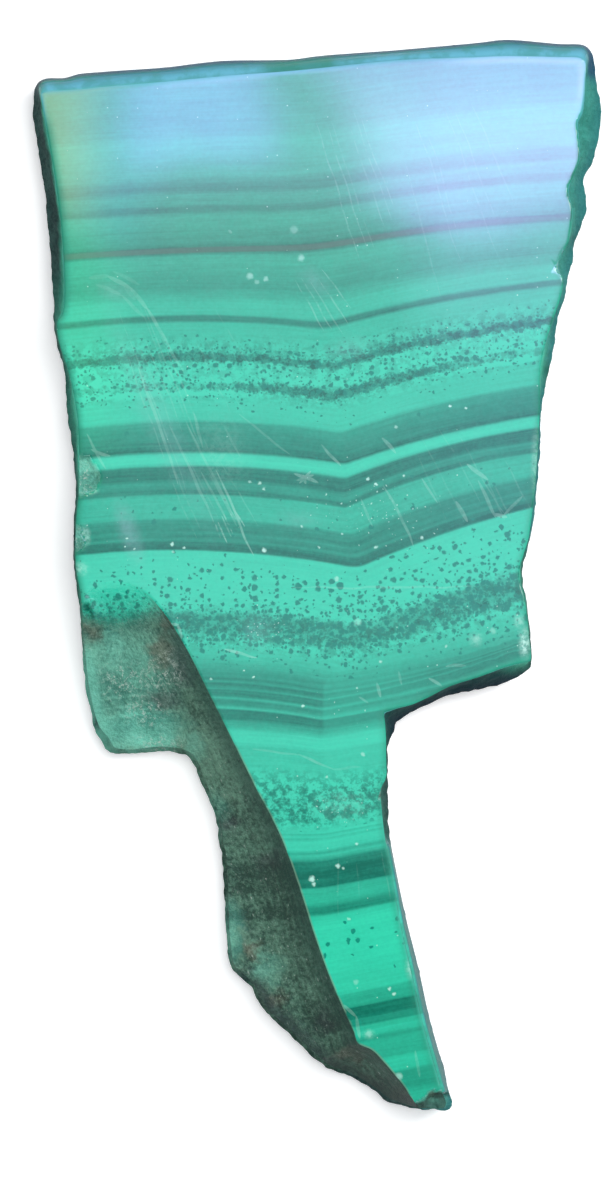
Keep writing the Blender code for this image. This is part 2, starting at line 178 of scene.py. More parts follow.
# Left limb: at each level, how far the layer lies above its level: rise - bend * (x - centre) ** 2.
LEFT_LIMB = [
    (0.0, 0.0, -1.7, 0.0016), (24.9, 0.0, -1.7, 0.0016), (32.7, 0.8, -12.2, 0.0047),
    (46.5, 1.2, -12.2, 0.0053), (56.5, 1.6, -14.2, 0.0055), (62.9, 1.23, -14.2, 0.0043),
    (69.0, 1.2, -11.7, 0.008), (72.0, 1.2, -11.7, 0.008), (79.0, 0.4, -5.0, 0.012), (85.0, 0.0, 0.0, 0.0),
    (130.0, 0.0, 0.0, 0.0),
]
# Right limb: at each level, where its line starts along x, its slope, and how its slope eases off.
RIGHT_LIMB = [
    (0.0, -0.2, 0.2, 0.003), (24.9, -0.2, 0.2, 0.003), (32.7, 0.8, 0.279, 0.0039),
    (46.5, 2.8, 0.355, 0.0053), (50.5, 2.8, 0.46, 0.009), (53.4, 3.6, 0.45, 0.0073),
    (56.5, 4.5, 0.44, 0.0057), (62.9, 5.5, 0.4, 0.0035), (68.0, 0.6, 0.09, -0.006),
    (70.5, 0.6, 0.16, -0.006), (71.8, 0.6, 0.17, 0.0), (79.0, 0.4, 0.15, 0.0), (85.0, 0.3, 0.2, 0.0),
    (130.0, 0.3, 0.2, 0.0),
]
# How widely the two limbs round into each other at each level, in mm.
HINGE_ROUND = [
    (24.0, 1.2), (33.0, 0.9), (44.0, 0.4), (51.0, 0.3), (55.0, 0.9), (64.0, 1.0), (68.0, 0.25),
    (90.0, 0.6),
]

# Tone of the layers, level by level: 0 is the darkest malachite, 1 the palest.
LAYER_TONE = [
    (3.8, 0.33), (8.0, 0.34), (12.0, 0.34), (13.2, 0.38), (13.9, 0.52), (15.4, 0.48), (16.0, 0.42),
    (17.4, 0.42), (18.2, 0.19), (18.9, 0.15), (19.3, 0.35), (20.2, 0.3), (20.6, 0.13), (21.0, 0.14),
    (21.4, 0.42), (22.4, 0.37), (23.4, 0.28), (24.2, 0.25), (24.6, 0.06), (25.1, 0.06), (25.5, 0.44),
    (26.6, 0.46), (27.4, 0.4), (29.0, 0.32), (30.0, 0.48), (30.8, 0.66), (32.1, 0.66), (32.4, 0.22),
    (32.8, 0.12), (33.1, 0.64), (35.0, 0.7), (36.1, 0.66), (36.4, 0.14), (36.9, 0.14), (37.2, 0.85),
    (38.9, 0.92), (39.3, 0.2), (39.9, 0.16), (40.2, 0.76), (41.5, 0.82), (43.0, 0.8), (43.4, 0.38),
    (44.6, 0.27), (45.5, 0.21), (46.3, 0.06), (46.6, 0.84), (47.2, 1.0), (47.7, 0.82), (48.0, 0.12),
    (49.2, 0.08), (49.6, 0.34), (50.1, 0.3), (50.4, 0.12), (50.7, 0.16), (50.9, 0.58), (52.0, 0.62),
    (53.2, 0.6), (53.6, 0.28), (54.5, 0.2), (54.8, 0.32), (55.2, 0.18), (55.5, 0.34), (55.8, 0.12),
    (56.5, 0.03), (56.7, 0.91), (59.0, 0.97), (62.0, 0.97), (62.7, 0.36), (64.0, 0.32), (64.7, 0.5),
    (65.1, 0.78), (66.8, 0.72), (67.8, 0.48), (68.4, 0.3), (68.7, 0.36), (69.0, 0.18), (69.3, 0.4),
    (69.5, 0.16), (69.8, 0.22), (70.0, 0.44), (70.2, 0.14), (70.7, 0.22), (70.95, 0.52), (71.2, 0.2),
    (71.6, 0.34), (71.9, 0.66), (72.1, 0.14), (72.8, 0.16), (73.1, 0.4), (73.6, 0.56), (74.0, 0.9),
    (74.9, 0.94), (75.4, 0.74), (77.0, 0.78), (79.0, 0.74), (79.6, 0.58), (82.2, 0.54), (82.7, 0.84),
    (83.4, 0.9), (83.55, 0.66), (83.8, 0.9), (84.0, 0.7), (84.3, 0.92), (85.0, 0.9), (85.4, 0.5),
    (85.7, 0.72), (86.0, 0.55), (86.3, 0.16), (87.0, 0.08), (87.4, 0.0), (87.8, 0.0), (88.1, 0.1),
    (88.8, 0.02), (89.0, 0.56), (90.0, 0.62), (90.6, 0.48), (90.9, 0.22), (91.5, 0.18), (91.8, 0.72),
    (92.6, 0.9), (96.0, 0.92), (97.6, 0.84), (99.8, 0.8), (100.1, 0.5), (101.3, 0.42), (101.5, 0.02),
    (102.5, 0.05), (102.7, 0.2), (103.3, 0.24), (103.5, 0.58), (104.2, 0.72), (104.5, 0.6), (104.9, 0.34),
    (105.2, 0.52), (107.0, 0.48), (107.4, 0.72), (108.4, 0.7), (108.8, 0.38), (110.4, 0.3), (111.0, 0.55),
    (114.0, 0.45),
]
# How raggedly the layers run into each other, in mm.
LAYER_RAGGED = [
    (34.0, 0.03), (35.6, 1.2), (40.2, 1.3), (41.5, 0.05), (61.0, 0.04), (62.0, 1.1), (64.0, 1.7),
    (65.2, 1.6), (66.5, 0.04), (77.0, 0.04), (79.0, 2.6), (82.0, 2.4), (82.9, 0.6), (83.3, 0.03),
]
# Dark dots of three sizes, level by level: the share of their places that hold one.
FINE_DOTS = [
    (33.6, 0.0), (34.3, 0.06), (34.7, 0.34), (35.1, 0.2), (35.8, 0.75), (36.2, 1.0), (37.0, 1.0),
    (37.3, 0.5), (38.4, 0.42), (39.1, 0.8), (39.5, 1.0), (40.0, 0.95), (40.4, 0.5), (41.4, 0.14),
    (42.8, 0.0), (49.5, 0.0), (50.6, 0.05), (53.0, 0.04), (54.0, 0.0), (56.8, 0.03), (58.0, 0.14),
    (60.5, 0.26), (61.8, 0.45), (62.3, 0.9), (64.8, 0.95), (65.3, 0.6), (66.2, 0.3), (67.8, 0.1),
    (68.6, 0.0), (77.6, 0.0), (79.0, 0.3), (82.4, 0.5), (83.1, 0.1), (83.4, 0.0),
]
MEDIUM_DOTS = [
    (35.4, 0.0), (36.1, 0.5), (37.4, 0.24), (38.6, 0.3), (39.6, 0.6), (40.3, 0.1), (41.0, 0.0),
    (56.9, 0.03), (58.0, 0.22), (59.0, 0.42), (60.6, 0.56), (62.0, 0.7), (64.8, 0.7), (65.6, 0.34),
    (67.2, 0.16), (68.2, 0.0), (78.4, 0.0), (79.6, 0.3), (82.6, 0.45), (83.2, 0.0),
]
COARSE_DOTS = [
    (57.4, 0.0), (58.6, 0.26), (60.0, 0.44), (61.4, 0.52), (62.6, 0.6), (64.6, 0.5), (65.6, 0.16),
    (67.0, 0.0),
]
# Dark spots that stand out: x, y, half sizes.
SPOTS = [
    (9.6, 36.1, 0.26, 0.22), (2.8, -34.8, 0.24, 0.2), (3.6, -35.6, 0.24, 0.34), (4.1, -36.5, 0.3, 0.42),
    (3.1, -36.6, 0.22, 0.36), (5.5, -35.3, 0.26, 0.22), (5.4, -37.2, 0.26, 0.22),
    (1.1, -36.9, 0.26, 0.28), (0.8, -38.1, 0.24, 0.36), (7.9, -35.7, 0.18, 0.2), (8.0, -34.4, 0.16, 0.34),
    (8.6, -36.9, 0.16, 0.22), (3.6, -38.0, 0.18, 0.14), (7.7, -39.1, 0.14, 0.14),
    (-19.9, -2.0, 0.32, 0.3), (-19.0, -1.7, 0.24, 0.22), (-21.0, -2.1, 0.2, 0.2),
    (-22.3, -2.9, 0.3, 0.36), (-20.7, -3.3, 0.34, 0.26), (-19.3, -3.3, 0.3, 0.24),
    (-17.9, -3.1, 0.4, 0.26), (-22.2, -1.0, 0.3, 0.4), (-20.4, -6.5, 0.4, 0.24), (-18.7, -6.9, 0.3, 0.2),
]

# Marks on the polished face, in mm.  Pale specks: x, y, radius, strength.
SPECKS = [
    (-0.5, -30.4, 0.42, 0.85), (-0.3, -30.9, 0.26, 0.68), (2.1, -29.1, 0.32, 0.68),
    (2.6, -29.3, 0.18, 0.51), (4.0, -26.9, 0.22, 0.59), (5.2, -45.9, 0.5, 0.38), (7.3, -41.4, 0.22, 0.59),
    (7.7, -41.9, 0.22, 0.59), (3.2, -34.4, 0.2, 0.42), (3.9, -40.7, 0.34, 0.26), (8.2, -50.1, 0.5, 0.47),
    (-5.3, 2.5, 0.3, 0.81), (-14.5, 3.1, 0.26, 0.77), (-13.3, 2.7, 0.2, 0.68), (-14.4, 2.3, 0.15, 0.42),
    (-19.0, 3.7, 0.18, 0.68), (-19.2, 2.8, 0.16, 0.68), (-18.2, 2.6, 0.14, 0.51),
    (-6.7, 29.9, 0.46, 0.36), (-6.0, 29.3, 0.3, 0.26), (-5.1, 29.6, 0.34, 0.34), (-1.6, 31.7, 0.46, 0.36),
    (-2.3, 34.5, 0.56, 0.19), (-8.7, 34.3, 0.24, 0.17), (-1.5, 4.9, 0.2, 0.51), (0.2, 2.8, 0.16, 0.51),
    (2.5, 4.1, 0.18, 0.51), (5.9, 2.8, 0.24, 0.59), (10.5, 3.7, 0.22, 0.59), (5.1, 9.6, 0.22, 0.68),
    (5.9, 9.1, 0.2, 0.68), (8.7, 9.9, 0.2, 0.59), (-5.7, 9.2, 0.26, 0.51), (-5.3, 8.6, 0.22, 0.51),
    (-6.7, 9.3, 0.22, 0.42), (2.0, -0.4, 0.34, 0.42), (7.9, 14.8, 0.22, 0.42), (-1.4, -13.1, 0.22, 0.77),
    (-6.4, -10.2, 0.18, 0.77), (-7.3, -9.6, 0.14, 0.59), (4.6, -17.9, 0.28, 0.42),
    (4.0, -11.3, 0.18, 0.51), (4.1, -4.7, 0.5, 0.26), (13.3, 16.9, 0.22, 0.77), (14.9, 16.7, 0.18, 0.59),
    (1.0, -20.2, 0.2, 0.42), (-10.6, -10.4, 0.2, 0.51), (15.9, -6.4, 0.6, 0.27), (17.6, -5.6, 0.4, 0.26),
    (6.4, -8.7, 0.26, 0.51), (12.9, -7.1, 0.18, 0.42),
]
# Scratches: both ends, half width, strength.
SCRATCHES = [
    (-22.7, 29.9, -20.7, 29.9, 0.3, 0.06), (-20.9, 29.9, -18.6, 28.7, 0.28, 0.11),
    (-18.8, 28.9, -17.0, 26.6, 0.26, 0.14), (-17.1, 26.8, -14.9, 23.3, 0.21, 0.14),
    (-22.0, 29.1, -19.5, 27.9, 0.25, 0.06), (-19.6, 28.0, -17.2, 25.8, 0.22, 0.08),
    (-20.4, 30.4, -17.7, 29.1, 0.22, 0.05), (-19.4, 29.2, -18.2, 27.6, 0.38, 0.07),
    (-15.6, 24.3, -13.4, 20.3, 0.19, 0.11), (-17.9, 20.9, -13.8, 9.0, 0.19, 0.14),
    (-14.8, 15.1, -10.4, 5.3, 0.18, 0.12), (-12.9, 15.1, -8.0, 4.7, 0.18, 0.14),
    (-12.3, 16.2, -11.3, 12.6, 0.18, 0.14), (-10.2, 10.6, -6.4, 1.9, 0.15, 0.24),
    (-9.3, 14.9, -7.6, 11.8, 0.15, 0.12), (-11.7, 10.3, -9.0, 5.1, 0.15, 0.12),
    (-10.9, 10.3, -8.1, 4.8, 0.14, 0.12), (-7.8, 16.2, -2.6, 12.0, 0.14, 0.1),
    (-23.2, 14.0, -21.0, 10.6, 0.19, 0.14), (-22.7, 12.6, -20.6, 11.9, 0.22, 0.18),
    (0.3, 13.0, 2.4, 10.8, 0.18, 0.19), (6.6, 13.8, 7.8, 12.2, 0.22, 0.18),
    (-2.2, 10.2, 0.2, 9.2, 0.21, 0.22), (-1.6, 9.2, -0.6, 10.3, 0.19, 0.2),
    (-1.0, 9.1, -1.3, 10.0, 0.18, 0.18), (-1.9, 9.5, -0.3, 9.9, 0.19, 0.18),
    (6.6, 8.9, 9.8, 2.9, 0.18, 0.15), (4.5, 7.6, 5.6, 4.7, 0.15, 0.12),
    (10.5, 9.6, 12.0, 7.1, 0.15, 0.14), (13.7, 7.5, 15.0, 5.3, 0.25, 0.16),
    (-2.7, -1.3, 16.0, -1.2, 0.14, 0.11), (-9.2, -7.5, -5.8, -8.2, 0.18, 0.27),
    (-14.9, -4.9, -13.9, -5.1, 0.18, 0.24), (-14.0, -5.1, -13.6, -6.5, 0.18, 0.22),
    (-6.6, -17.4, -1.7, -18.0, 0.15, 0.09), (-1.9, -17.9, 1.8, -19.3, 0.15, 0.15),
    (1.6, -19.3, 4.4, -19.3, 0.15, 0.08), (11.2, -10.4, 12.5, -11.2, 0.19, 0.2),
    (12.9, -9.3, 15.0, -9.1, 0.19, 0.14), (14.9, 11.2, 17.2, 9.6, 0.25, 0.19),
    (16.1, 9.6, 17.9, 5.6, 0.22, 0.15), (17.7, 6.0, 18.9, 5.6, 0.25, 0.18),
    (18.6, 5.8, 20.5, 7.9, 0.19, 0.15), (6.0, -10.9, 6.4, -12.4, 0.21, 0.2),
    (8.2, -9.7, 8.5, -10.9, 0.15, 0.16), (4.3, -12.2, 5.2, -12.9, 0.14, 0.14),
    (2.6, -42.9, 3.9, -44.2, 0.19, 0.16), (3.9, -44.1, 4.3, -46.4, 0.21, 0.18),
    (10.0, -47.5, 10.3, -50.4, 0.19, 0.11),
]
# Bundles of fine parallel scratches: both ends of the middle one, breadth, number, strength.
BUNDLES = [
    (-9.5, 6.2, -8.2, 3.9, 2.4, 7, 0.32), (-13.0, 12.0, -9.0, 4.0, 5.0, 5, 0.11),
    (-12.0, 26.0, -6.5, 16.0, 3.0, 3, 0.07), (11.3, 14.0, 15.8, 5.0, 4.2, 4, 0.09),
    (17.0, 12.0, 20.0, 4.5, 2.4, 3, 0.11), (2.0, 46.0, 6.5, 33.0, 4.4, 6, 0.11),
    (11.8, 46.0, 17.0, 31.0, 8.0, 6, 0.08), (-1.5, 30.5, 2.5, 24.5, 3.0, 5, 0.14),
    (4.4, -27.4, 4.9, -33.8, 4.0, 3, 0.07), (-18.5, 26.5, -12.0, 10.0, 4.0, 7, 0.1),
]
BUNDLE_LINE = 0.1  # half the width of such a scratch
BUNDLE_SEED = 7
# Cloudy patches: centre x, y, half sizes along x and y, strength.
SMEARS = [
    (20.8, -6.8, 0.9, 2.2, 0.8), (20.2, -4.6, 0.8, 1.0, 0.45), (15.9, -6.4, 1.0, 1.0, 0.4),
    (21.9, 11.0, 0.7, 5.0, 0.4), (9.4, -39.3, 0.8, 1.5, 0.45), (8.9, -33.4, 0.5, 1.2, 0.55),
    (2.6, -23.0, 4.2, 2.2, 0.12), (-9.5, 12.0, 4.0, 6.0, 0.1), (5.2, -45.9, 0.9, 0.7, 0.3),
    (-9.9, -19.0, 0.7, 0.6, 0.4), (-23.3, 3.8, 0.9, 1.6, 0.6), (-22.6, 8.6, 1.0, 0.8, 0.6),
    (-23.7, 0.6, 1.3, 1.0, 0.4),
]
# Soft bluish veils of grease or wear: centre x, y, half sizes, how far the axis leans, strength.
VEILS = [
    (-18.8, 4.3, 1.6, 4.4, 0.3, 0.34), (-6.0, -5.6, 2.4, 2.6, 0.0, 0.14),
    (-20.4, 28.4, 2.2, 1.6, 0.6, 0.16), (-0.2, 29.4, 2.0, 2.2, 0.5, 0.16),
    (3.0, 22.6, 3.4, 1.8, -0.3, 0.12), (-1.8, 5.6, 3.2, 1.4, 0.0, 0.12),
    (-15.7, 15.5, 2.8, 15.0, 0.46, 0.15),
]
# A painted reflection haze, fading out towards the tail:
REFLECTION_HAZE = 0.06  # such a veil lies thinly all over the face
# Fine pale stipple: centre x, y, half sizes, strength.
STIPPLES = [
    (-4.6, -5.4, 4.0, 1.9, 0.5), (2.4, -23.4, 4.6, 2.0, 0.25), (6.0, 6.0, 9.0, 4.0, 0.3),
    (2.0, -13.4, 5.0, 1.4, 0.25),
]

# Colour on the broken stone, as centre x, y and half sizes along x and y.  Green, which has a strength too:
GREENS = [
    (-20.0, -11.0, 8.0, 9.5, 0.62), (-20.6, -7.0, 2.4, 3.0, 0.7), (12.4, -53.6, 3.0, 2.4, 1.0),
    (-22.8, -12.0, 1.6, 5.0, 0.65), (-17.8, -15.2, 6.4, 3.8, 1.0), (-21.4, -14.0, 3.0, 3.0, 0.6),
    (-17.4, -11.0, 4.0, 2.4, 0.25), (-10.4, -24.0, 2.0, 3.4, 0.3), (-8.6, -36.0, 1.6, 4.6, 0.45),
    (-12.2, -17.0, 1.8, 2.2, 0.35), (-5.0, -39.5, 2.6, 2.2, 0.35), (-23.5, 8.0, 4.0, 9.0, 1.0),
]
# Brown stains:
BROWNS = [
    (-14.9, -4.4, 1.0, 3.4), (-15.6, -7.6, 2.0, 2.2), (-6.7, -37.4, 1.4, 1.4), (-4.3, -42.6, 1.6, 1.4),
    (-22.6, -5.0, 1.5, 2.6), (3.8, -47.9, 2.8, 1.1), (8.8, -52.0, 1.6, 1.6),
]
# Scuffed fibres:
SCUFFS = [
    (-19.0, -10.6, 4.0, 2.2), (-15.4, -9.8, 2.6, 3.0), (-16.8, -13.6, 3.0, 2.0), (-15.6, -17.0, 3.0, 1.4),
    (-23.0, -7.4, 0.9, 1.2), (-23.2, 9.4, 1.4, 2.2), (-24.0, 3.7, 0.8, 1.6),
]
# Dusky stains:
DUSKS = [
    (-13.6, -8.8, 2.2, 4.2), (-15.4, -12.6, 2.6, 1.6), (0.8, -44.6, 1.6, 1.8), (-4.6, -28.4, 2.6, 1.6),
    (-8.8, -25.0, 1.6, 1.6),
]
# Painted light, a greener edge where the light falls at top and right, and at the tip's chip: centre x, y,
# half sizes along x and y.
LIT_EDGE_GREENS = [
    (27.0, 43.0, 3.4, 13.0), (24.6, 27.0, 2.6, 10.0), (22.4, 10.0, 2.0, 12.0), (0.0, 52.0, 45.0, 3.5),
    (12.4, -53.4, 2.4, 1.6),
]
# Where the edge below the break keeps the break's colour instead of the edge's painted shade: centre x, y,
# half sizes.
BREAK_WALLS = [
    (-17.0, -17.5, 9.5, 3.5), (-24.0, -10.5, 2.5, 8.0), (-11.5, -30.0, 5.5, 18.0),
    (-3.0, -46.0, 9.0, 7.0),
]
# Painted shadow: the edge under the ledge is painted near black.
LEDGE = (13.5, -13.0, 11.0, 6.5)  # the edge is darkest in here

# Base colours
DARK_GREEN = (0.003, 0.125, 0.088, 1.0)
PALE_GREEN = (0.034, 0.545, 0.370, 1.0)
DOT_GREEN = (0.003, 0.195, 0.145, 1.0)
LINE_BROWN = (0.070, 0.125, 0.100, 1.0)
MARK_COLOUR = (0.40, 0.72, 0.62, 1.0)
# Also the colour of the painted reflection haze:
VEIL_COLOUR = (0.21, 0.40, 0.42, 1.0)
# Painted shade along the face's rounded border and in gaps of the painted reflection on the roll; also
# blotches there:
SHADE_AND_BLOTCH_GREEN = (0.030, 0.200, 0.130, 1.0)
TAIL_TINT = (0.62, 1.06, 1.0, 1.0)  # the tail's green is purer
# Painted bluish reflection along the top border, as on the rolled edge next to it:
TOP_BORDER_REFLECTION = (0.110, 0.390, 0.500, 1.0)
HEAD_SHADE = (0.006, 0.130, 0.085, 1.0)
BROKEN_DARK = (0.022, 0.056, 0.040, 1.0)
BROKEN_PALE = (0.108, 0.240, 0.165, 1.0)
BROKEN_GREEN_DARK = (0.050, 0.220, 0.165, 1.0)
BROKEN_GREEN_PALE = (0.150, 0.500, 0.375, 1.0)
BROWN_DARK = (0.024, 0.030, 0.020, 1.0)
BROWN_PALE = (0.150, 0.165, 0.120, 1.0)
DUSK_DARK = (0.022, 0.036, 0.034, 1.0)
DUSK_PALE = (0.080, 0.120, 0.105, 1.0)
SCUFF_COLOUR = (0.400, 0.470, 0.420, 1.0)
RIM_SHADE = (0.012, 0.052, 0.038, 1.0)
# Painted highlight along the rim where the face breaks off:
RIM_HIGHLIGHT = (0.210, 0.330, 0.225, 1.0)
EDGE_LIP = (0.060, 0.520, 0.340, 1.0)
# Painted shade on the broken edge, darker and paler with its grain:
EDGE_SHADE_DARK = (0.012, 0.036, 0.034, 1.0)
EDGE_SHADE_PALE = (0.040, 0.090, 0.080, 1.0)
# Painted shadow on the edge under the ledge:
LEDGE_SHADOW_COLOUR = (0.008, 0.017, 0.030, 1.0)
# Painted light: the edge's green where the light falls:
EDGE_GREEN_DARK = (0.028, 0.190, 0.150, 1.0)
EDGE_GREEN_PALE = (0.050, 0.290, 0.235, 1.0)
# Painted reflection and painted shade on the rolled and turned-under edge, from bluish near the face to navy:
NAVY_REFLECTION_SHADE = (0.014, 0.062, 0.115, 1.0)
ROLL_REFLECTION_NEAR = (0.130, 0.410, 0.540, 1.0)
ROLL_REFLECTION_MIDDLE = (0.065, 0.280, 0.360, 1.0)
BEVEL_GREEN = (0.020, 0.180, 0.200, 1.0)
# Painted highlight on the tail's bevel:
BEVEL_HIGHLIGHT = (0.070, 0.420, 0.330, 1.0)
# Painted highlight along the top edge:
GLINT = (0.50, 0.74, 0.96, 1.0)
WORLD_HIGH = (0.03, 0.038, 0.045, 1.0)
WORLD_LOW = (0.38, 0.42, 0.48, 1.0)
WHITE = (1.0, 1.0, 1.0, 1.0)
RAMP_STOPS = 28  # no more rows of a list than this go into one colour ramp

# Finish
STONE_IOR = 1.75
POLISH_ROUGHNESS = 0.08
SOUND_ROUGHNESS = 0.14  # where the polish is rolled over or bevelled
BROKEN_ROUGHNESS = 0.62
RELIEF_STRENGTH = 0.8
RELIEF_HEIGHT = 0.0003  # metres

# The camera looks straight down on the face, over this centre and this much of it.
VIEW_CENTRE = (-0.95, -1.55)
VIEW_LENGTH = 118.1
VIEW_HEIGHT = 1200.0
SENSOR = 36.0
CLIP_END = 20.0  # metres

# The floor is pale and glows a little.
FLOOR_SIZE = 4000.0
FLOOR_COLOUR = (0.94, 0.94, 0.94, 1.0)
FLOOR_GLOW = 0.3

# Lights, aimed at the middle of the slab's back: name, place, width, watts, and whether reflections see it.
LIGHTS = [
    ("overhead", (60.0, 60.0, 900.0), 600.0, 6.95, False),
    ("key", (460.0, 260.0, 700.0), 360.0, 3.65, True),
]

# What the polish mirrors: patches of light in a sheet this high over the face.  Each is given by where it
# shows on the face: left and right end and their softness, how far it leans, lower and upper end and their
# softness, colour.
SHEET_HEIGHT = 90.0
SHEET_SIZE = (200.0, 320.0)
LEAN_LEVEL = 45.0  # a leaning patch has its ends where the row says at this y
REFLECTIONS = [
    (-27.0, 70.0, 10.0, 0.0, -36.0, 90.0, 34.0, (0.4, 0.45, 0.65)),
    (2.0, 70.0, 18.0, 0.0, -14.0, 90.0, 24.0, (0.12, 0.0, 0.35)),
    (-28.0, 70.0, 10.0, 0.0, 24.0, 90.0, 12.0, (0.55, 0.6, 0.55)),
    (-28.0, 70.0, 10.0, 0.0, 34.0, 90.0, 8.0, (0.75, 0.75, 1.5)),
    (0.8, 70.0, 6.0, 0.43, 33.2, 90.0, 3.2, (2.0, 1.2, 4.6)),
    (0.8, 70.0, 6.0, 0.43, 33.0, 52.0, 8.0, (1.2, 1.9, 1.6)),
    (-2.0, 15.0, 7.0, 0.43, 33.4, 41.5, 4.0, (0.7, 0.6, 1.6)),
    (-20.8, -2.5, 5.0, 0.0, 40.4, 90.0, 2.8, (1.6, 1.6, 5.4)),
    (5.0, 70.0, 10.0, 0.0, 20.0, 90.0, 9.0, (0.75, 0.7, 1.5)),
    (-70.0, -17.0, 7.0, 0.0, 5.0, 90.0, 18.0, (0.3, 1.9, 0.7)),
    (-70.0, -19.5, 5.0, 0.0, 32.0, 90.0, 8.0, (2.6, 0.4, 0.3)),
    (-26.0, -14.5, 5.0, 0.0, 30.0, 90.0, 8.0, (0.0, 0.0, 1.3)),
]


def smooth_curve(points, spacing, closed):
    """Points about this far apart on a centripetal Catmull-Rom curve, and where each given one comes in."""
    points = [np.array(p, float) for p in points]
    count = len(points)
    found, starts = [], []
    for i in range(count if closed else count - 1):
        if closed:
            p0, p1, p2, p3 = (points[(i + k) % count] for k in (-1, 0, 1, 2))
        else:
            p0, p1, p2, p3 = (points[min(max(i + k, 0), count - 1)] for k in (-1, 0, 1, 2))
        starts.append(len(found))
        t1 = max(math.dist(p0[:2], p1[:2]), 1e-6) ** 0.5
        t2 = t1 + max(math.dist(p1[:2], p2[:2]), 1e-6) ** 0.5
        t3 = t2 + max(math.dist(p2[:2], p3[:2]), 1e-6) ** 0.5
        steps = max(1, round(math.dist(p1[:2], p2[:2]) / spacing))
        for k in range(steps):
            t = t1 + (t2 - t1) * k / steps
            a1 = p0 + (p1 - p0) * t / t1
            a2 = p1 + (p2 - p1) * (t - t1) / (t2 - t1)
            a3 = p2 + (p3 - p2) * (t - t2) / (t3 - t2)
            b1 = a1 + (a2 - a1) * t / t2
            b2 = a2 + (a3 - a2) * (t - t1) / (t3 - t1)
            found.append(b1 + (b2 - b1) * (t - t1) / (t2 - t1))
    if not closed:
        found.append(points[-1])
    return np.array(found), starts


def in_batches(points):
    return np.array_split(points, max(1, len(points) // POINTS_AT_ONCE))


def nearest_on(line, points):
    """Each point's distance to an open run of straight stretches, and how far along the run that is."""
    ends = line[1:] - line[:-1]
    lengths = np.linalg.norm(ends, axis=1)
    before = np.concatenate([[0.0], np.cumsum(lengths)[:-1]])
    distances, alongs = [], []
    for part in in_batches(points):
        offsets = part[:, None] - line[:-1]
        shares = np.clip((offsets * ends).sum(axis=2) / lengths ** 2, 0.0, 1.0)
        away = np.linalg.norm(offsets - shares[..., None] * ends, axis=2)
        best = away.argmin(axis=1)
        rows = np.arange(len(part))
        distances.append(away[rows, best])
        alongs.append(before[best] + shares[rows, best] * lengths[best])
    return np.concatenate(distances), np.concatenate(alongs)


def inside(polygon, points):
    """Which of the points lie inside the polygon."""
    ahead = np.roll(polygon, -1, axis=0)
    rise = ahead[:, 1] - polygon[:, 1]
    slant = (ahead[:, 0] - polygon[:, 0]) / np.where(rise == 0.0, 1.0, rise)
    found = []
    for part in in_batches(points):
        x, y = part[:, :1], part[:, 1:2]
        crossed = (polygon[:, 1] > y) != (ahead[:, 1] > y)
        left = x < polygon[:, 0] + (y - polygon[:, 1]) * slant
        found.append((crossed & left).sum(axis=1) % 2 == 1)
    return np.concatenate(found)


def grid_points(polygon, lines, spacing):
    """Staggered points inside a polygon that keep clear of some lines."""
    low, high = polygon.min(axis=0), polygon.max(axis=0)
    columns, rows = np.meshgrid(
        np.arange(int((high[0] - low[0]) / spacing) + 2),
        np.arange(int((high[1] - low[1]) / (spacing * ROW_SHARE)) + 1),
    )
    x = low[0] + (columns + 0.5 * (rows % 2)) * spacing
    y = low[1] + rows * spacing * ROW_SHARE
    points = np.stack([x.ravel(), y.ravel()], axis=1)
    points = points[inside(polygon, points)]
    for line in lines:
        points = points[nearest_on(line, points)[0] > CLEAR_OF_LINES * spacing]
    return points


def roughness_at(point, size, octaves=3):
    """Noise between about -1 and 1 at a point in mm, whose coarsest lumps have this size."""
    return noise.fractal(Vector(point) / size, 1.0, 2.0, octaves) / 1.2


def rolled_share(normals):
    """How far the edge is rolled over, not broken, where it faces these ways."""
    return np.clip(normals[:, 1] * ROLL_FACING[0] + ROLL_FACING[1], 0.0, 1.0)


def settling(share):
    """From 0 at the rim to 1 on the floor, steepest at the rim."""
    return 1.0 - (1.0 - np.clip(share, 0.0, 1.0)) ** 2


def break_depth(rim, points):
    """How far the broken surface lies below the face on its side of the rim, and how raw it is."""
    from_rim, along = nearest_on(rim, points)
    ys, floors, slopes = np.array(SCOOP)[::-1].T
    floor = np.interp(points[:, 1], ys, floors)
    slope = np.interp(points[:, 1], ys, slopes)
    scoop = floor * settling(from_rim / slope)
    into_bite = np.minimum(from_rim, BITE_RADIUS - np.linalg.norm(points - BITE_CENTRE, axis=1))
    depth = np.maximum(scoop, BITE_DEPTH * settling(into_bite / BITE_SLOPE))
    for i, (x, y) in enumerate(points):
        reach = min(1.0, depth[i] / 1.5, from_rim[i] / 0.8)
        coarse = roughness_at((along[i] / BREAK_STRETCH, from_rim[i], 0.0), BREAK_LUMP_SIZE)
        fine = roughness_at((x, y, 0.0), BREAK_GRAIN_SIZE)
        depth[i] += reach * (BREAK_LUMP_DEPTH * coarse + BREAK_GRAIN_DEPTH * fine)
    return depth, np.clip(floor / RAW_FLOOR, 0.0, 1.0)


def chip_depth(points):
    """How far chips have taken the face down at each point."""
    found = np.zeros(len(points))
    for i, (x, y) in enumerate(points):
        for centre_x, centre_y, half_x, half_y, depth in CHIPS:
            if abs(x - centre_x) > 2 * half_x or abs(y - centre_y) > 2 * half_y:
                continue
            waver_x = CHIP_WAVER * roughness_at((x, y, 3.0), CHIP_WAVER_SIZE)
            waver_y = CHIP_WAVER * roughness_at((x, y, 7.0), CHIP_WAVER_SIZE)
            reach = ((x + waver_x - centre_x) / half_x) ** 2 + ((y + waver_y - centre_y) / half_y) ** 2
            floor = depth * (1.0 + 0.5 * roughness_at((x, y, 0.0), CHIP_LUMP_SIZE))
            found[i] = max(found[i], floor * min(1.0, 1.6 * (1.0 - reach)))
    return found


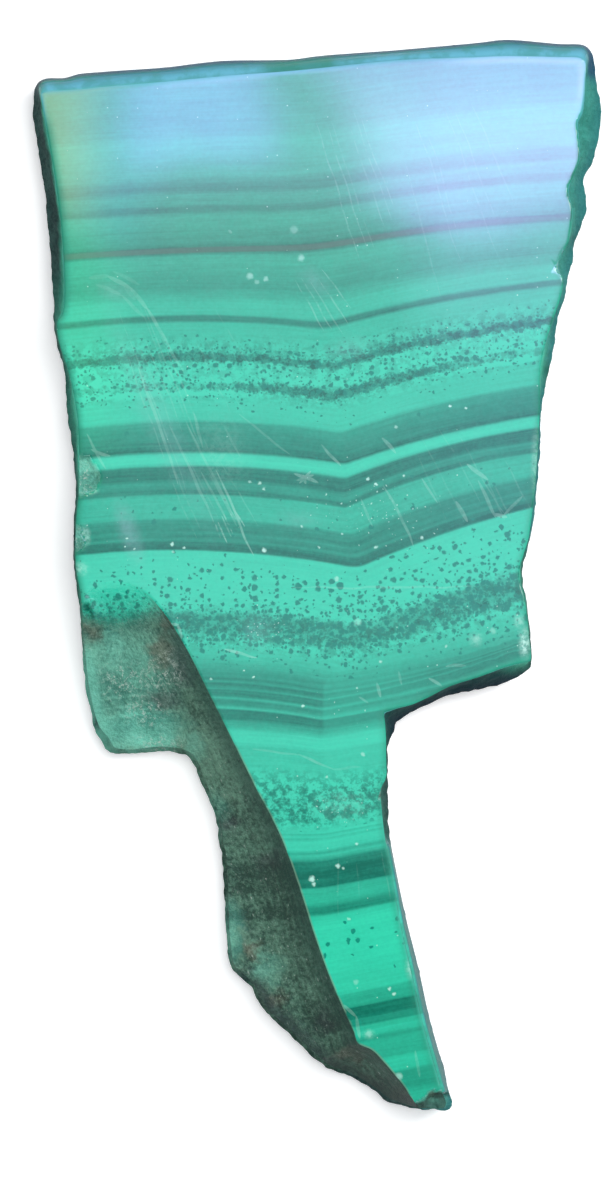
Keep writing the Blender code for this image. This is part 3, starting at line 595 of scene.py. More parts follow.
def chip_points(polygon, edge):
    """A fine grid where chips are broken out of the top surface."""
    found = []
    for x, y, half_x, half_y, _ in CHIPS:
        corners = ((-1.4, -1.4), (1.4, -1.4), (1.4, 1.4), (-1.4, 1.4))
        box = np.array([(x + i * half_x, y + j * half_y) for i, j in corners])
        found.append(grid_points(box, [edge], CHIP_GRID))
    points = np.concatenate(found)
    return points[inside(polygon, points)]


def outward_normals(loop, reach):
    """Unit vectors pointing out of a clockwise loop at each of its points, evened out over this length."""
    ahead = np.roll(loop, -1, axis=0) - loop
    lengths = np.linalg.norm(ahead, axis=1, keepdims=True)
    sides = np.stack([-ahead[:, 1], ahead[:, 0]], axis=1) / lengths
    steps = max(1, round(0.5 * reach / lengths.mean()))
    summed = sum(np.roll(sides, k, axis=0) for k in range(-steps + 1, steps + 1))
    return summed / np.linalg.norm(summed, axis=1, keepdims=True)


def triangulated(points, lines, outline):
    """Upward triangles through all the points that keep the lines, with the points and their sources."""
    made, _, faces, sources, _, _ = delaunay_2d_cdt([Vector(p) for p in points], lines, [outline], 1, 1e-5)
    triangles = []
    for a, b, c in faces:
        up = (made[b] - made[a]).cross(made[c] - made[a]) > 0
        triangles.append((a, b, c) if up else (a, c, b))
    return np.array(made), triangles, sources


def layer_levels(limb, shifts, points):
    """The layer that each point lies in on one limb, as a level in mm."""
    levels = np.array([row[0] for row in limb])
    depth = LEVEL_ZERO - points[:, 1] - LAYER_DIP * (THICKNESS - points[:, 2])
    heights = levels - np.stack([shifts(row, points[:, 0]) for row in limb], axis=1)
    return np.array([np.interp(d, h, levels) for d, h in zip(depth, heights)])


def left_shift(row, x):
    _, rise, centre, bend = row
    return rise - bend * (x - centre) ** 2


def right_shift(row, x):
    _, start, slope, easing = row
    along = x - start
    return slope * along - easing * along * np.abs(along)


class Surface:
    """Points and triangles gathered piece by piece, and how raw and how steep the stone is at each corner."""

    def __init__(self):
        self.points = []
        self.triangles = []
        self.rawness = []
        self.walls = []

    def add_points(self, points):
        first = len(self.points)
        self.points += [tuple(map(float, p)) for p in points]
        return list(range(first, len(self.points)))

    def add_triangle(self, corners, rawness, wall):
        self.triangles.append(corners)
        self.rawness += rawness
        self.walls += [wall] * 3


def top_surface(surface, stations, last_polished, normals):
    """The polished face, the break and the chips; gives the points of the edge loop in order."""
    edge = stations[:, 2:]
    count = len(edge)
    rim, _ = smooth_curve([edge[0], *BREAK_RIM, edge[last_polished]], EDGE_STEP, closed=False)
    closed_edge = np.concatenate([edge, edge[:1]])
    break_outline = np.concatenate([edge[last_polished:], rim[:-1]])
    face_outline = np.concatenate([edge[:last_polished], rim[:0:-1]])
    rolled = rolled_share(normals)
    lip_width = (RIM_ROUND + ROLL_ROUND * rolled)[1:last_polished, None]
    lip = edge[1:last_polished] - normals[1:last_polished] * lip_width
    lip_inside = lip - normals[1:last_polished] * LEVEL_MARGIN
    rim_ahead = rim[2:] - rim[:-2]
    rim_sides = np.stack([-rim_ahead[:, 1], rim_ahead[:, 0]], axis=1)
    rim_sides /= np.linalg.norm(rim_sides, axis=1, keepdims=True)
    rim_lip = (rim[1:-1] + rim_sides * RIM_ROUND)[3:-3]
    rim_inside = rim_lip + rim_sides[3:-3] * LEVEL_MARGIN

    parts = [
        edge,
        rim[1:-1],
        lip,
        lip_inside,
        rim_lip,
        rim_inside,
        grid_points(face_outline, [closed_edge, rim], FACE_GRID),
        grid_points(break_outline, [closed_edge, rim], BREAK_GRID),
        chip_points(edge, closed_edge),
    ]
    sizes = np.cumsum([len(p) for p in parts])
    rim_ids = [0, *range(count, sizes[1]), last_polished]
    rim_edges = list(zip(rim_ids, rim_ids[1:]))
    points, triangles, sources = triangulated(np.concatenate(parts), rim_edges, list(range(count)))
    source = np.array([s[0] if s else sizes[-1] for s in sources])

    on_edge = source < count
    on_rim = ((source >= count) & (source < sizes[1])) | (source == 0) | (source == last_polished)
    broken = (on_edge & (source > last_polished)) | (~on_edge & ~on_rim & inside(break_outline, points))
    crispness = np.interp(points[:, 1], CRISP_RIM, [1.0, 0.0])
    drop = np.where(on_edge & ~broken, RIM_DROP, np.where(on_rim, RIM_DROP * crispness, 0.0))
    drop[on_edge] += (ROLL_DROP - RIM_DROP) * rolled[source[on_edge]]
    rawness = np.zeros(len(points))
    drop[broken], rawness[broken] = break_depth(rim, points[broken])
    chips = chip_depth(points)
    drop = np.maximum(drop, chips)
    rawness = np.maximum(rawness, np.clip(chips / CHIP_RAW_DEPTH, 0.0, 1.0))
    rawness[on_rim] = crispness[on_rim]

    ids = surface.add_points(np.column_stack([points, THICKNESS - drop]))
    centres = points[np.array(triangles)].mean(axis=1)
    in_break = inside(break_outline, centres)
    for (a, b, c), is_broken in zip(triangles, in_break):
        chipped = max(chips[a], chips[b], chips[c]) > CHIP_SEEN
        raw = [rawness[i] if is_broken or chipped else 0.0 for i in (a, b, c)]
        surface.add_triangle((ids[a], ids[b], ids[c]), raw, 0.0)
    made = {s: i for i, s in enumerate(source)}
    return [ids[made[i]] for i in range(count)]


def lump(x, y, z):
    """How far the broken edge is hollowed at a point."""
    return LUMP_DEPTH * (0.5 + 0.5 * noise.noise(Vector((x, y, z)) / LUMP_SIZE))


def wall_rows(surface, stations, top_ids, normals):
    """The broken edge from the face down to the back, and how raw each row is; gives the points of its lowest
    row.
    """
    girth, edge = stations[:, :2], stations[:, 2:]
    count = len(edge)
    top = np.array([surface.points[i][2] for i in top_ids])
    sway = np.array([noise.noise(Vector((x, y, 0.0)) / (2 * LUMP_SIZE)) for x, y in girth])
    waist = top * (GIRTH_SHARE + GIRTH_SWAY * sway)
    lips = np.maximum(np.linalg.norm(girth - edge, axis=1), 0.05)
    at_face = top > THICKNESS - FACE_SLACK
    rolled = rolled_share(normals) * at_face
    past_end = np.clip(BEVEL_END[1] - edge[:, 1], 0.0, 1.0)
    bevelled = np.clip((edge[:, 0] - BEVEL_END[0]) / 0.5, 0.0, 1.0) * past_end
    bevelled *= (normals[:, 0] > 0.5) * at_face
    rows, rawness = [top_ids], [np.where(at_face, 0.3, 1.0)]
    for k in range(1, WALL_ROWS_ABOVE + 1):
        share = k / WALL_ROWS_ABOVE
        out = np.full(count, share)
        down = np.full(count, share)
        turn = 0.5 * math.pi * share
        out += (math.sin(turn) - share) * rolled
        down += (1.0 - math.cos(turn) - share) * rolled
        bevel_out = np.minimum(0.75, BEVEL_WIDTH / lips)
        bevel_down = BEVEL_DROP / (top - waist)
        ramp = min(1.0, share / BEVEL_SHARE)
        rest = max(0.0, (share - BEVEL_SHARE) / (1.0 - BEVEL_SHARE))
        out += (bevel_out * ramp + (1.0 - bevel_out) * rest - share) * bevelled
        down += (bevel_down * ramp + (1.0 - bevel_down) * rest - share) * bevelled
        calm = np.maximum(rolled, bevelled)
        z = top + (waist - top) * down
        x, y = (edge + (girth - edge) * out[:, None]).T
        points = []
        for i in range(count):
            hollow = lump(x[i], y[i], z[i]) * 3.0 * share * (1.0 - share)
            grain = GRAIN_DEPTH * roughness_at((x[i], y[i], z[i]), GRAIN_SIZE) * min(1.0, 3.0 * share)
            inward = (hollow + grain) * (1.0 - calm[i])
            points.append((x[i] - normals[i, 0] * inward, y[i] - normals[i, 1] * inward, z[i]))
        rows.append(surface.add_points(points))
        rawness.append(1.0 - calm * (1.0 if share < 0.45 else 0.4))
    for k in range(1, WALL_ROWS_BELOW + 1):
        share = k / WALL_ROWS_BELOW
        z = waist * (1.0 - share)
        points = []
        for i, (x, y) in enumerate(girth):
            grain = GRAIN_DEPTH * roughness_at((x, y, z[i]), GRAIN_SIZE)
            inward = FOOT_INSET * share * share + lump(x, y, z[i]) * share + grain
            points.append((x - normals[i, 0] * inward, y - normals[i, 1] * inward, z[i]))
        rows.append(surface.add_points(points))
        rawness.append(np.ones(count))
    for k in range(len(rows) - 1):
        upper, lower = rows[k], rows[k + 1]
        for i in range(count):
            j = (i + 1) % count
            raw_i, raw_j = rawness[k][i], rawness[k][j]
            low_i, low_j = rawness[k + 1][i], rawness[k + 1][j]
            surface.add_triangle((upper[i], upper[j], lower[j]), [raw_i, raw_j, low_j], 1.0)
            surface.add_triangle((upper[i], lower[j], lower[i]), [raw_i, low_j, low_i], 1.0)
    return rows[-1]


def sawn_back(surface, foot):
    outline = np.array([surface.points[i][:2] for i in foot])
    inner = grid_points(outline, [np.concatenate([outline, outline[:1]])], FACE_GRID)
    count = len(foot)
    _, triangles, _ = triangulated(np.concatenate([outline, inner]), [], list(range(count)))
    ids = foot + surface.add_points([(x, y, 0.0) for x, y in inner])
    for a, b, c in triangles:
        surface.add_triangle((ids[a], ids[c], ids[b]), [0.5] * 3, 0.5)


def add_object(name, data):
    """A new object in the scene that shows this data."""
    added = bpy.data.objects.new(name, data)
    bpy.context.scene.collection.objects.link(added)
    return added


def build_stone():
    stations, starts = smooth_curve(POLISHED_EDGE + BROKEN_EDGE, EDGE_STEP, closed=True)
    last_polished = starts[len(POLISHED_EDGE) - 1]
    normals = outward_normals(stations[:, :2], NORMAL_REACH)
    surface = Surface()
    top_ids = top_surface(surface, stations, last_polished, normals)
    top_count = len(surface.points)
    foot = wall_rows(surface, stations, top_ids, normals)
    sawn_back(surface, foot)

    points = np.array(surface.points)
    mesh = bpy.data.meshes.new(STONE_NAME)
    mesh.from_pydata((points * MM).tolist(), [], surface.triangles)
    rim, _ = smooth_curve(BREAK_RIM, EDGE_STEP, closed=False)
    edge = stations[:, 2:]
    from_rim, along_rim = nearest_on(rim, points[:, :2])
    from_edge = np.zeros(len(points))
    from_edge[:top_count], _ = nearest_on(np.concatenate([edge, edge[:1]]), points[:top_count, :2])
    values = {
        "left_level": ("POINT", layer_levels(LEFT_LIMB, left_shift, points)),
        "right_level": ("POINT", layer_levels(RIGHT_LIMB, right_shift, points)),
        "from_rim": ("POINT", from_rim),
        "along_rim": ("POINT", along_rim),
        "from_edge": ("POINT", from_edge),
        "rawness": ("CORNER", surface.rawness),
        "wall": ("CORNER", surface.walls),
    }
    for name, (domain, numbers) in values.items():
        mesh.attributes.new(name, "FLOAT", domain).data.foreach_set("value", np.array(numbers, np.float32))
    off_face = np.array(surface.rawness).reshape(-1, 3).max(axis=1) + surface.walls[::3] > 0.0
    mesh.polygons.foreach_set("material_index", off_face.astype(np.int32))
    mesh.shade_smooth()
    mesh.set_sharp_from_angle(angle=math.radians(SHARP_ANGLE))
    return add_object(STONE_NAME, mesh)


class Field:
    """A value that varies over the surface.  Arithmetic on it adds nodes to the material."""

    def __init__(self, socket):
        self.socket = socket
        self.tree = socket.id_data

    def math(self, operation, *others, clamp=False):
        sources = dict(enumerate((self, *others)))
        return output_of(self.tree, "ShaderNodeMath", 0, sources, operation=operation, use_clamp=clamp)

    def vector_math(self, operation, *others, output=0):
        sources = dict(enumerate((self, *others)))
        return output_of(self.tree, "ShaderNodeVectorMath", output, sources, operation=operation)

    def __add__(self, other):
        return self.math("ADD", other)

    def __radd__(self, other):
        return self.math("ADD", other)

    def __sub__(self, other):
        return self.math("SUBTRACT", other)

    def __rsub__(self, other):
        return self.math("MULTIPLY_ADD", -1.0, other)

    def __mul__(self, other):
        return self.math("MULTIPLY", other)

    def __rmul__(self, other):
        return self.math("MULTIPLY", other)

    def at_least(self, other):
        return self.math("MAXIMUM", other)

    def toward(self, other, share):
        """This value, mixed with another by a share."""
        return self + (other - self) * share

    def rise(self, start, end, height=1.0):
        """0 before the start, this height after the end, smooth between them."""
        low, high, ends = (start, end, (0.0, height)) if start < end else (end, start, (height, 0.0))
        sources = {"Value": self, "From Min": low, "From Max": high, "To Min": ends[0], "To Max": ends[1]}
        settings = {"interpolation_type": "SMOOTHSTEP", "clamp": False}
        return output_of(self.tree, "ShaderNodeMapRange", "Result", sources, **settings)

    def stops(self, rows):
        """The value that a list of (position, value) rows gives at this one, straight between the rows."""
        found = None
        for first in range(0, len(rows) - 1, RAMP_STOPS - 1):
            part = rows[first : first + RAMP_STOPS]
            low, high = part[0][0], part[-1][0]
            share = (self - low) * (1.0 / (high - low))
            ramp = make_node(self.tree, "ShaderNodeValToRGB", {"Fac": share})
            elements = ramp.color_ramp.elements
            while len(elements) < len(part):
                elements.new(0.5)
            for element, (position, _) in zip(elements, part):
                element.position = (position - low) / (high - low)
            for element, (_, value) in zip(elements, part):
                element.color = (value, value, value, 1.0)
            here = parts_of(Field(ramp.outputs["Color"]), "ShaderNodeSeparateColor")[0]
            found = here if found is None else found.toward(here, self.math("GREATER_THAN", low))
        return found


def fill_inputs(node, sources):
    """Link the node's inputs to fields, or set them to plain values."""
    for key, value in sources.items():
        socket = node.inputs[key]
        if isinstance(value, Field):
            node.id_data.links.new(value.socket, socket)
        else:
            socket.default_value = value


def make_node(tree, kind, sources, **settings):
    """A new node with its settings made and its inputs linked or set."""
    node = tree.nodes.new(kind)
    for name, value in settings.items():
        setattr(node, name, value)
    fill_inputs(node, sources)
    return node


def output_of(tree, kind, output, sources, **settings):
    """What one output of a new node gives."""
    return Field(make_node(tree, kind, sources, **settings).outputs[output])


def parts_of(value, kind):
    """The parts of a colour or of a vector, by a node of this kind."""
    return [Field(part) for part in make_node(value.tree, kind, {0: value}).outputs]


def attribute(tree, name):
    return output_of(tree, "ShaderNodeAttribute", "Fac", {}, attribute_name=name)


def vector(tree, x, y, z):
    return output_of(tree, "ShaderNodeCombineXYZ", 0, {"X": x, "Y": y, "Z": z})


def noise_at(place, size, detail=2.0, roughness=0.5):
    """Soft noise between about 0 and 1 whose lumps have this size in the place's own units."""
    sources = {"Vector": place, "Scale": 1.0 / size, "Detail": detail, "Roughness": roughness}
    return output_of(place.tree, "ShaderNodeTexNoise", "Fac", sources)


def streaks(noise_value, width):
    """Thin wandering lines where a noise passes through its middle."""
    return (noise_value - 0.5).math("ABSOLUTE").rise(width, 0.0)


def mix_colours(share, first, second):
    sources = {"Factor": share, 6: first, 7: second}
    tree = next(v for v in (share, first, second) if isinstance(v, Field)).tree
    return output_of(tree, "ShaderNodeMix", 2, sources, data_type="RGBA")


def dots(flat_place, share, spacing, small, large, edge):
    """Round dots about this far apart, of radii between small and large, in a share of the places."""
    sources = {"Vector": flat_place, "Scale": 1.0 / spacing}
    node = make_node(flat_place.tree, "ShaderNodeTexVoronoi", sources, voronoi_dimensions="2D")
    red, green, _ = parts_of(Field(node.outputs["Color"]), "ShaderNodeSeparateColor")
    present = (share - red).math("GREATER_THAN", 0.0)
    radius = green * (large - small) + small
    inward = radius - Field(node.outputs["Distance"]) * spacing
    return inward.rise(0.0, edge) * present


def ellipse(flat_place, x, y, half_x, half_y, height=1.0, soft=0.8):
    """This height in the middle of an ellipse on the face and 0 outside it."""
    scale = (1.0 / half_x, 1.0 / half_y, 0.0)
    from_middle = flat_place.vector_math("MULTIPLY_ADD", scale, (-x / half_x, -y / half_y, 0.0))
    return from_middle.vector_math("LENGTH", output="Value").rise(1.0, 1.0 - soft, height)


def scratch(flat_place, x0, y0, x1, y1, half_width, strength):
    """A thin line that tapers at its ends.  On it, the distances to its ends add up to about its length."""
    from_start = flat_place.vector_math("DISTANCE", (x0, y0, 0.0), output="Value")
    from_end = flat_place.vector_math("DISTANCE", (x1, y1, 0.0), output="Value")
    length = math.hypot(x1 - x0, y1 - y0)
    outline = math.hypot(length, 2.0 * half_width)
    return (from_start + from_end).rise(outline, 0.7 * length + 0.3 * outline, strength)


def bundled_scratches():
    """The single scratches of all the bundles, each a little longer, shorter or aslant."""
    chance = np.random.default_rng(BUNDLE_SEED)
    found = []
    for x0, y0, x1, y1, breadth, number, strength in BUNDLES:
        length = math.hypot(x1 - x0, y1 - y0)
        along = np.array([x1 - x0, y1 - y0]) / length
        across = np.array([-along[1], along[0]])
        for k in range(number):
            offset = breadth * ((k + chance.uniform(-0.4, 0.4)) / (number - 1) - 0.5)
            start = np.array([x0, y0]) + across * offset + along * length * chance.uniform(-0.1, 0.25)
            end = np.array([x1, y1]) + across * offset * 1.2 - along * length * chance.uniform(-0.1, 0.3)
            found.append((*start.tolist(), *end.tolist(), BUNDLE_LINE, strength * chance.uniform(0.5, 1.0)))
    return found


def largest(fields):
    """The largest of some fields at each place.  Each is made only when its turn comes."""
    found = next(fields)
    for field in fields:
        found = found.at_least(field)
    return found


def patches(flat_place, rows, soft):
    """Soft ellipses, one for each row."""
    return largest(ellipse(flat_place, *row, soft=soft) for row in rows)


class Place:
    """Where a point of the stone lies, in mm, and how it lies to the layers, the rim and the edge."""

    def __init__(self, tree):
        found = output_of(tree, "ShaderNodeTexCoord", "Object", {})
        self.tree = tree
        self.x, self.y, self.z = (part * (1.0 / MM) for part in parts_of(found, "ShaderNodeSeparateXYZ"))
        scaling = {"Vector": found, "Scale": (1.0 / MM, 1.0 / MM, 0.4 / MM)}
        self.spot = output_of(tree, "ShaderNodeMapping", 0, scaling)
        self.flat = vector(tree, self.x, self.y, 0.0)
        self.raw = attribute(tree, "rawness")
        self.wall = attribute(tree, "wall")
        self.from_rim = attribute(tree, "from_rim")
        self.along_rim = attribute(tree, "along_rim")
        self.from_edge = attribute(tree, "from_edge")

    def moved(self, move_x, move_y):
        return vector(self.tree, self.x + move_x, self.y + move_y, 0.0)

    def noise(self, size, detail=2.0, roughness=0.5):
        return noise_at(self.spot, size, detail, roughness)


def growth_layers(at):
    """The colour of sound malachite: its folded layers, their laminae and their dark dots; and their tone."""
    left = attribute(at.tree, "left_level")
    right = attribute(at.tree, "right_level")
    level = left.math("SMOOTH_MAX", right, left.stops(HINGE_ROUND))
    drift = at.noise(7.0, 2.0) - 0.5
    jitter = at.noise(0.55, 2.0, 0.65) - 0.5
    ragged = level.stops(LAYER_RAGGED)
    layer = level + drift * 0.14 + jitter * ragged
    mottle = at.noise(0.9, 3.0, 0.7).rise(0.40, 0.60) - 0.5
    tone = layer.stops(LAYER_TONE) + mottle * ragged * 0.30

    streak_place = vector(at.tree, at.x * 0.04, layer, at.z * 0.05)
    laminae = noise_at(streak_place, 0.34, 4.0, 0.75) - 0.5
    cloud = at.noise(4.5, 4.0, 0.6) - 0.5
    fleck = at.noise(0.35, 2.0, 0.6) - 0.5
    tone = tone + laminae * 0.42 + cloud * 0.20 + fleck * 0.24

    on_right = (right - left).rise(-0.05, 0.1)
    seam = on_right * level.rise(67.0, 68.5) * level.rise(80.0, 76.0) * at.x.rise(13.0, 7.0)
    tone = tone.toward(tone * 0.75 + 0.25, seam * 0.8)
    lower_row = level.rise(38.7, 39.1) * level.rise(40.8, 40.3)
    fading = 1.0 - at.x.rise(-12.0, -3.0) * at.x.rise(19.0, 8.0)
    tone = (tone + lower_row * fading * 0.5).math("ADD", 0.0, clamp=True)

    waver_x = jitter * 0.5
    waver_y = (at.noise(0.6, 2.0, 0.6) - 0.5) * 0.5
    warped = at.moved(waver_x, waver_y)
    gaps = at.noise(2.4, 2.0).rise(0.34, 0.56)
    side = at.x.rise(-16.0, 12.0)
    crowd = (gaps * 0.45 + 0.62) * (1.0 - lower_row * fading * 0.35)
    fine = dots(warped, level.stops(FINE_DOTS) * crowd, 0.40, 0.07, 0.22, 0.12)
    medium = dots(warped, level.stops(MEDIUM_DOTS) * crowd * (side * 0.4 + 0.7), 0.68, 0.15, 0.35, 0.15)
    coarse = dots(warped, level.stops(COARSE_DOTS) * (side * 0.9 + 0.25), 1.05, 0.22, 0.48, 0.20)
    spots = patches(warped, SPOTS, 0.45)
    spotted = fine.at_least(medium).at_least(coarse).at_least(spots)

    stone = mix_colours(tone, DARK_GREEN, PALE_GREEN)
    faint = level.rise(77.0, 78.5) * level.rise(83.6, 83.0)
    stone = mix_colours(spotted * (0.94 - faint * 0.5), stone, DOT_GREEN)
    brown = (level - BROWN_LEVEL).math("ABSOLUTE").rise(0.42, 0.15)
    return mix_colours(brown * (0.62 - at.x.rise(0.0, 22.0, 0.40)), stone, LINE_BROWN), tone


def polish_marks(at):
    """How strongly specks, scratches, smears and stipple whiten the polished face."""
    bend_x = (at.noise(5.0, 1.0) - 0.5) * 0.8
    bend_y = (at.noise(4.0, 1.0) - 0.5) * 0.8
    bent = at.moved(bend_x, bend_y)
    rough = at.moved((at.noise(0.4, 1.0) - 0.5) * 0.35, (at.noise(0.45, 1.0) - 0.5) * 0.35)
    marks = largest(ellipse(rough, x, y, r, r, strength, soft=0.7) for x, y, r, strength in SPECKS)
    # Wear that fades the scratches here and there.
    wear_and_highlight = at.noise(1.1, 3.0, 0.7).rise(0.34, 0.56)
    marks = marks.at_least(largest(scratch(bent, *row) for row in SCRATCHES) * (wear_and_highlight * 0.45 + 0.55))
    marks = marks.at_least(largest(scratch(bent, *row) for row in bundled_scratches()) * wear_and_highlight)
    broken_up = at.noise(0.5, 3.0, 0.75).rise(0.38, 0.64)
    smears = patches(at.flat, SMEARS, 1.0)
    marks = marks.at_least(smears * (broken_up * 0.75 + 0.25))
    stippled = patches(at.flat, STIPPLES, 0.9)
    stipple = dots(rough, stippled * 0.75, 0.30, 0.03, 0.10, 0.07)
    dust = dots(at.flat, at.noise(8.0, 1.0) * 0.14, 1.0, 0.03, 0.10, 0.06)
    return marks.at_least(stipple * 0.6).at_least(dust * 0.5)


def veils(at):
    """Soft bluish veils, each leaning along its own axis, over a thin painted reflection haze."""
    found = (
        ellipse(at.moved((at.y - y) * lean, 0.0), x, y, half_x, half_y, strength, soft=1.0)
        for x, y, half_x, half_y, lean, strength in VEILS
    )
    return (largest(found) + at.y.rise(-35.0, 0.0, REFLECTION_HAZE)) * (at.noise(0.8, 3.0, 0.7) * 1.6 + 0.2)


def lined_face(at, stone):
    """The polished face: painted shade in a darker, greener border, painted reflection at the top, painted
    highlight lines.
    """
    at_top = at.y.rise(44.0, 48.0)
    at_left = at.x.rise(0.0, -15.0)
    # Painted shade: the face darkens and greens towards its rounded edge, more on the left, hardly at the
    # top.
    border = at.from_edge.rise(0.9, -0.2) * (at_left * 0.3 + 0.5 - at_top * 0.8)
    stone = mix_colours(border, stone, SHADE_AND_BLOTCH_GREEN)
    # Painted reflection: a teal border along the top.
    stone = mix_colours(at.from_edge.rise(0.6, -0.2) * at_top * 0.8, stone, TOP_BORDER_REFLECTION)
    # Painted highlight: a soft line of light just inside the top edge, fainter on the left.
    lit_left = at.x.rise(-18.0, -14.0) * at.x.rise(-3.5, -6.0) * 0.4
    lit_run = at.x.rise(11.0, 17.0).at_least(lit_left) * at.y.rise(46.0, 49.0)
    glint = at.from_edge.rise(-0.3, 0.15) * at.from_edge.rise(1.0, 0.35) * lit_run
    stone = mix_colours(glint * 0.18, stone, GLINT)
    # Painted highlight: a pale line along the tail's bevelled edge.
    wear_and_highlight = at.from_edge.rise(0.3, 0.0) * at.y.rise(-19.0, -25.0) * at.noise(1.5, 2.0).rise(0.2, 0.6)
    stone = mix_colours(wear_and_highlight * 0.45, stone, BEVEL_HIGHLIGHT)
    # Painted highlight: a thin pale line on the face along the break's rim.
    rim_highlight = at.from_rim.rise(0.24, 0.05) * at.y.rise(-3.0, -8.0) * (1.0 - at.y.rise(-19.0, -15.0) * 0.75)
    return mix_colours(rim_highlight * at.noise(1.5, 2.0).rise(0.25, 0.55) * 0.55, stone, RIM_HIGHLIGHT)


def rolled_stone(at, stone):
    """The polished edge where it is rolled over: painted reflection and painted shade make it bluer and
    darker the further it turns down.
    """
    depth = THICKNESS - at.z
    # Painted bluish reflection near the face, then painted shade darkening to navy further down.
    roll = mix_colours(depth.rise(-0.1, 0.8), ROLL_REFLECTION_NEAR, ROLL_REFLECTION_MIDDLE)
    roll = mix_colours(depth.rise(0.2, 2.8), roll, NAVY_REFLECTION_SHADE)
    roll = mix_colours(depth.rise(5.0, 6.8), roll, mix_colours(0.7, stone, EDGE_GREEN_DARK))
    # The tail's bevel: a painted highlight at its top, darker blue-green below.
    bevel = mix_colours(depth.rise(0.16, 0.42), mix_colours(0.55, stone, BEVEL_HIGHLIGHT), BEVEL_GREEN)
    # Greener where the painted reflection has a gap.
    roll = mix_colours(at.x.rise(-7.0, -3.5) * at.x.rise(4.0, 0.5) * 0.7, roll, SHADE_AND_BLOTCH_GREEN)
    roll = mix_colours(at.y.rise(-18.0, -22.0), roll, bevel)
    blotch = at.noise(1.6, 3.0, 0.6).rise(0.40, 0.62)
    return mix_colours(blotch * 0.4 * depth.rise(3.0, 0.6), roll, SHADE_AND_BLOTCH_GREEN)


def broken_stone(at, stone, tone, lumps, grain, grit):
    """The scoop, the bite and the chips: fibrous, stained and scuffed, greener where unweathered stone shows.
    """
    off_wall = 1.0 - at.wall
    drifted = at.moved((lumps - 0.5) * 3.5, (at.noise(1.8, 4.0, 0.6) - 0.5) * 3.5)
    shade = (grain + tone * 0.14 - 0.05 - at.y.rise(-16.0, -30.0, 0.09)).rise(0.32, 0.68)
    green = patches(drifted, GREENS, 0.7)
    broken = mix_colours(shade, BROKEN_DARK, BROKEN_PALE)
    fresh_and_lit_green = mix_colours(shade * 0.6 + tone * 0.4, BROKEN_GREEN_DARK, BROKEN_GREEN_PALE)
    broken = mix_colours(green, broken, fresh_and_lit_green)
    stains = patches(drifted, BROWNS, 0.8)
    broken = mix_colours(stains * 0.75, broken, mix_colours(shade, BROWN_DARK, BROWN_PALE))
    dusky = patches(drifted, DUSKS, 0.9)
    broken = mix_colours(dusky * 0.75, broken, mix_colours(shade, DUSK_DARK, DUSK_PALE))
    head = ellipse(at.moved((lumps - 0.5) * 1.2, 0.0), -20.6, -1.6, 5.4, 5.2, soft=0.45)
    headstone = mix_colours(grit.rise(0.30, 0.70) * 0.30 + 0.40, stone, HEAD_SHADE)
    broken = mix_colours(head * at.y.rise(-6.6, -3.6), broken, headstone)

    torn = streaks(at.noise(1.1, 4.0, 0.7), 0.035) * grit.rise(0.40, 0.58)
    scuffs = patches(drifted, SCUFFS, 0.8)
    broken = mix_colours(torn * (scuffs * 0.85 + 0.08), broken, SCUFF_COLOUR)
    fleck_place = vector(at.tree, at.along_rim * 0.30, at.from_rim, 0.0)
    flecks = dots(fleck_place, grit.rise(0.46, 0.60) * 0.55, 0.42, 0.03, 0.09, 0.06) * at.y.rise(-16.0, -20.0)
    broken = mix_colours(flecks * 0.55, broken, SCUFF_COLOUR)
    left_margin = at.from_edge.rise(1.4, 0.5) * at.x.rise(-19.0, -21.5) * at.y.rise(-7.0, -8.5)
    broken = mix_colours(left_margin * 0.5, broken, BROKEN_GREEN_PALE)

    near_rim = at.from_rim.rise(2.2, 0.2) * at.y.rise(-1.0, -7.0)
    broken = mix_colours(near_rim * off_wall * 0.66, broken, RIM_SHADE)
    # Painted shade: the break darkens near the outline at the bottom of the tail, where it slopes away from
    # the light.
    tail_margin_shade = at.from_edge.rise(1.7, 0.3) * at.y.rise(-38.5, -42.0)
    return mix_colours(tail_margin_shade * off_wall * 0.7, broken, DUSK_DARK)


def edge_stone(at, grain):
    """The broken edge: green at the lip, painted shade near black further down, painted light greener at the
    top and right.
    """
    depth = THICKNESS - at.z
    shade = grain.rise(0.32, 0.70)
    wavy = at.moved((grain - 0.5) * 3.0, 0.0)
    # Painted shade: the edge is near black where the light doesn't reach it.
    dark = mix_colours(shade, EDGE_SHADE_DARK, EDGE_SHADE_PALE)
    # Green at the lip, fading into that painted shade further down.
    lip = depth.rise(5.2, 0.2).toward(depth.rise(2.6, 0.0), at.y.rise(22.0, 32.0))
    dark = mix_colours(lip * (0.88 - at.y.rise(-14.0, -20.0, 0.70)), dark, EDGE_LIP)
    # Painted light: the greener edge where the light falls.
    fresh_and_lit_green = mix_colours(shade, EDGE_GREEN_DARK, EDGE_GREEN_PALE)
    # Painted reflection and painted shade: navy where the edge turns under, most at the top.
    turned = depth.rise(1.2, 4.4) * 0.4
    turned_at_top = depth.rise(0.4, 2.4) * depth.rise(6.8, 5.0) * 0.95
    fresh_and_lit_green = mix_colours(turned.toward(turned_at_top, at.y.rise(48.8, 50.6)), fresh_and_lit_green, NAVY_REFLECTION_SHADE)
    green = patches(wavy, LIT_EDGE_GREENS, 0.4)
    edge = mix_colours(green, dark, fresh_and_lit_green)
    # Painted shadow on the edge under the ledge.
    ledge_shadow = ellipse(at.flat, *LEDGE, soft=0.4) * depth.rise(0.0, 0.5)
    return mix_colours(ledge_shadow * 0.9, edge, LEDGE_SHADOW_COLOUR)


def new_material(name):
    """A new material and its shader."""
    material = bpy.data.materials.new(name)
    material.use_nodes = True
    return material, material.node_tree.nodes["Principled BSDF"]


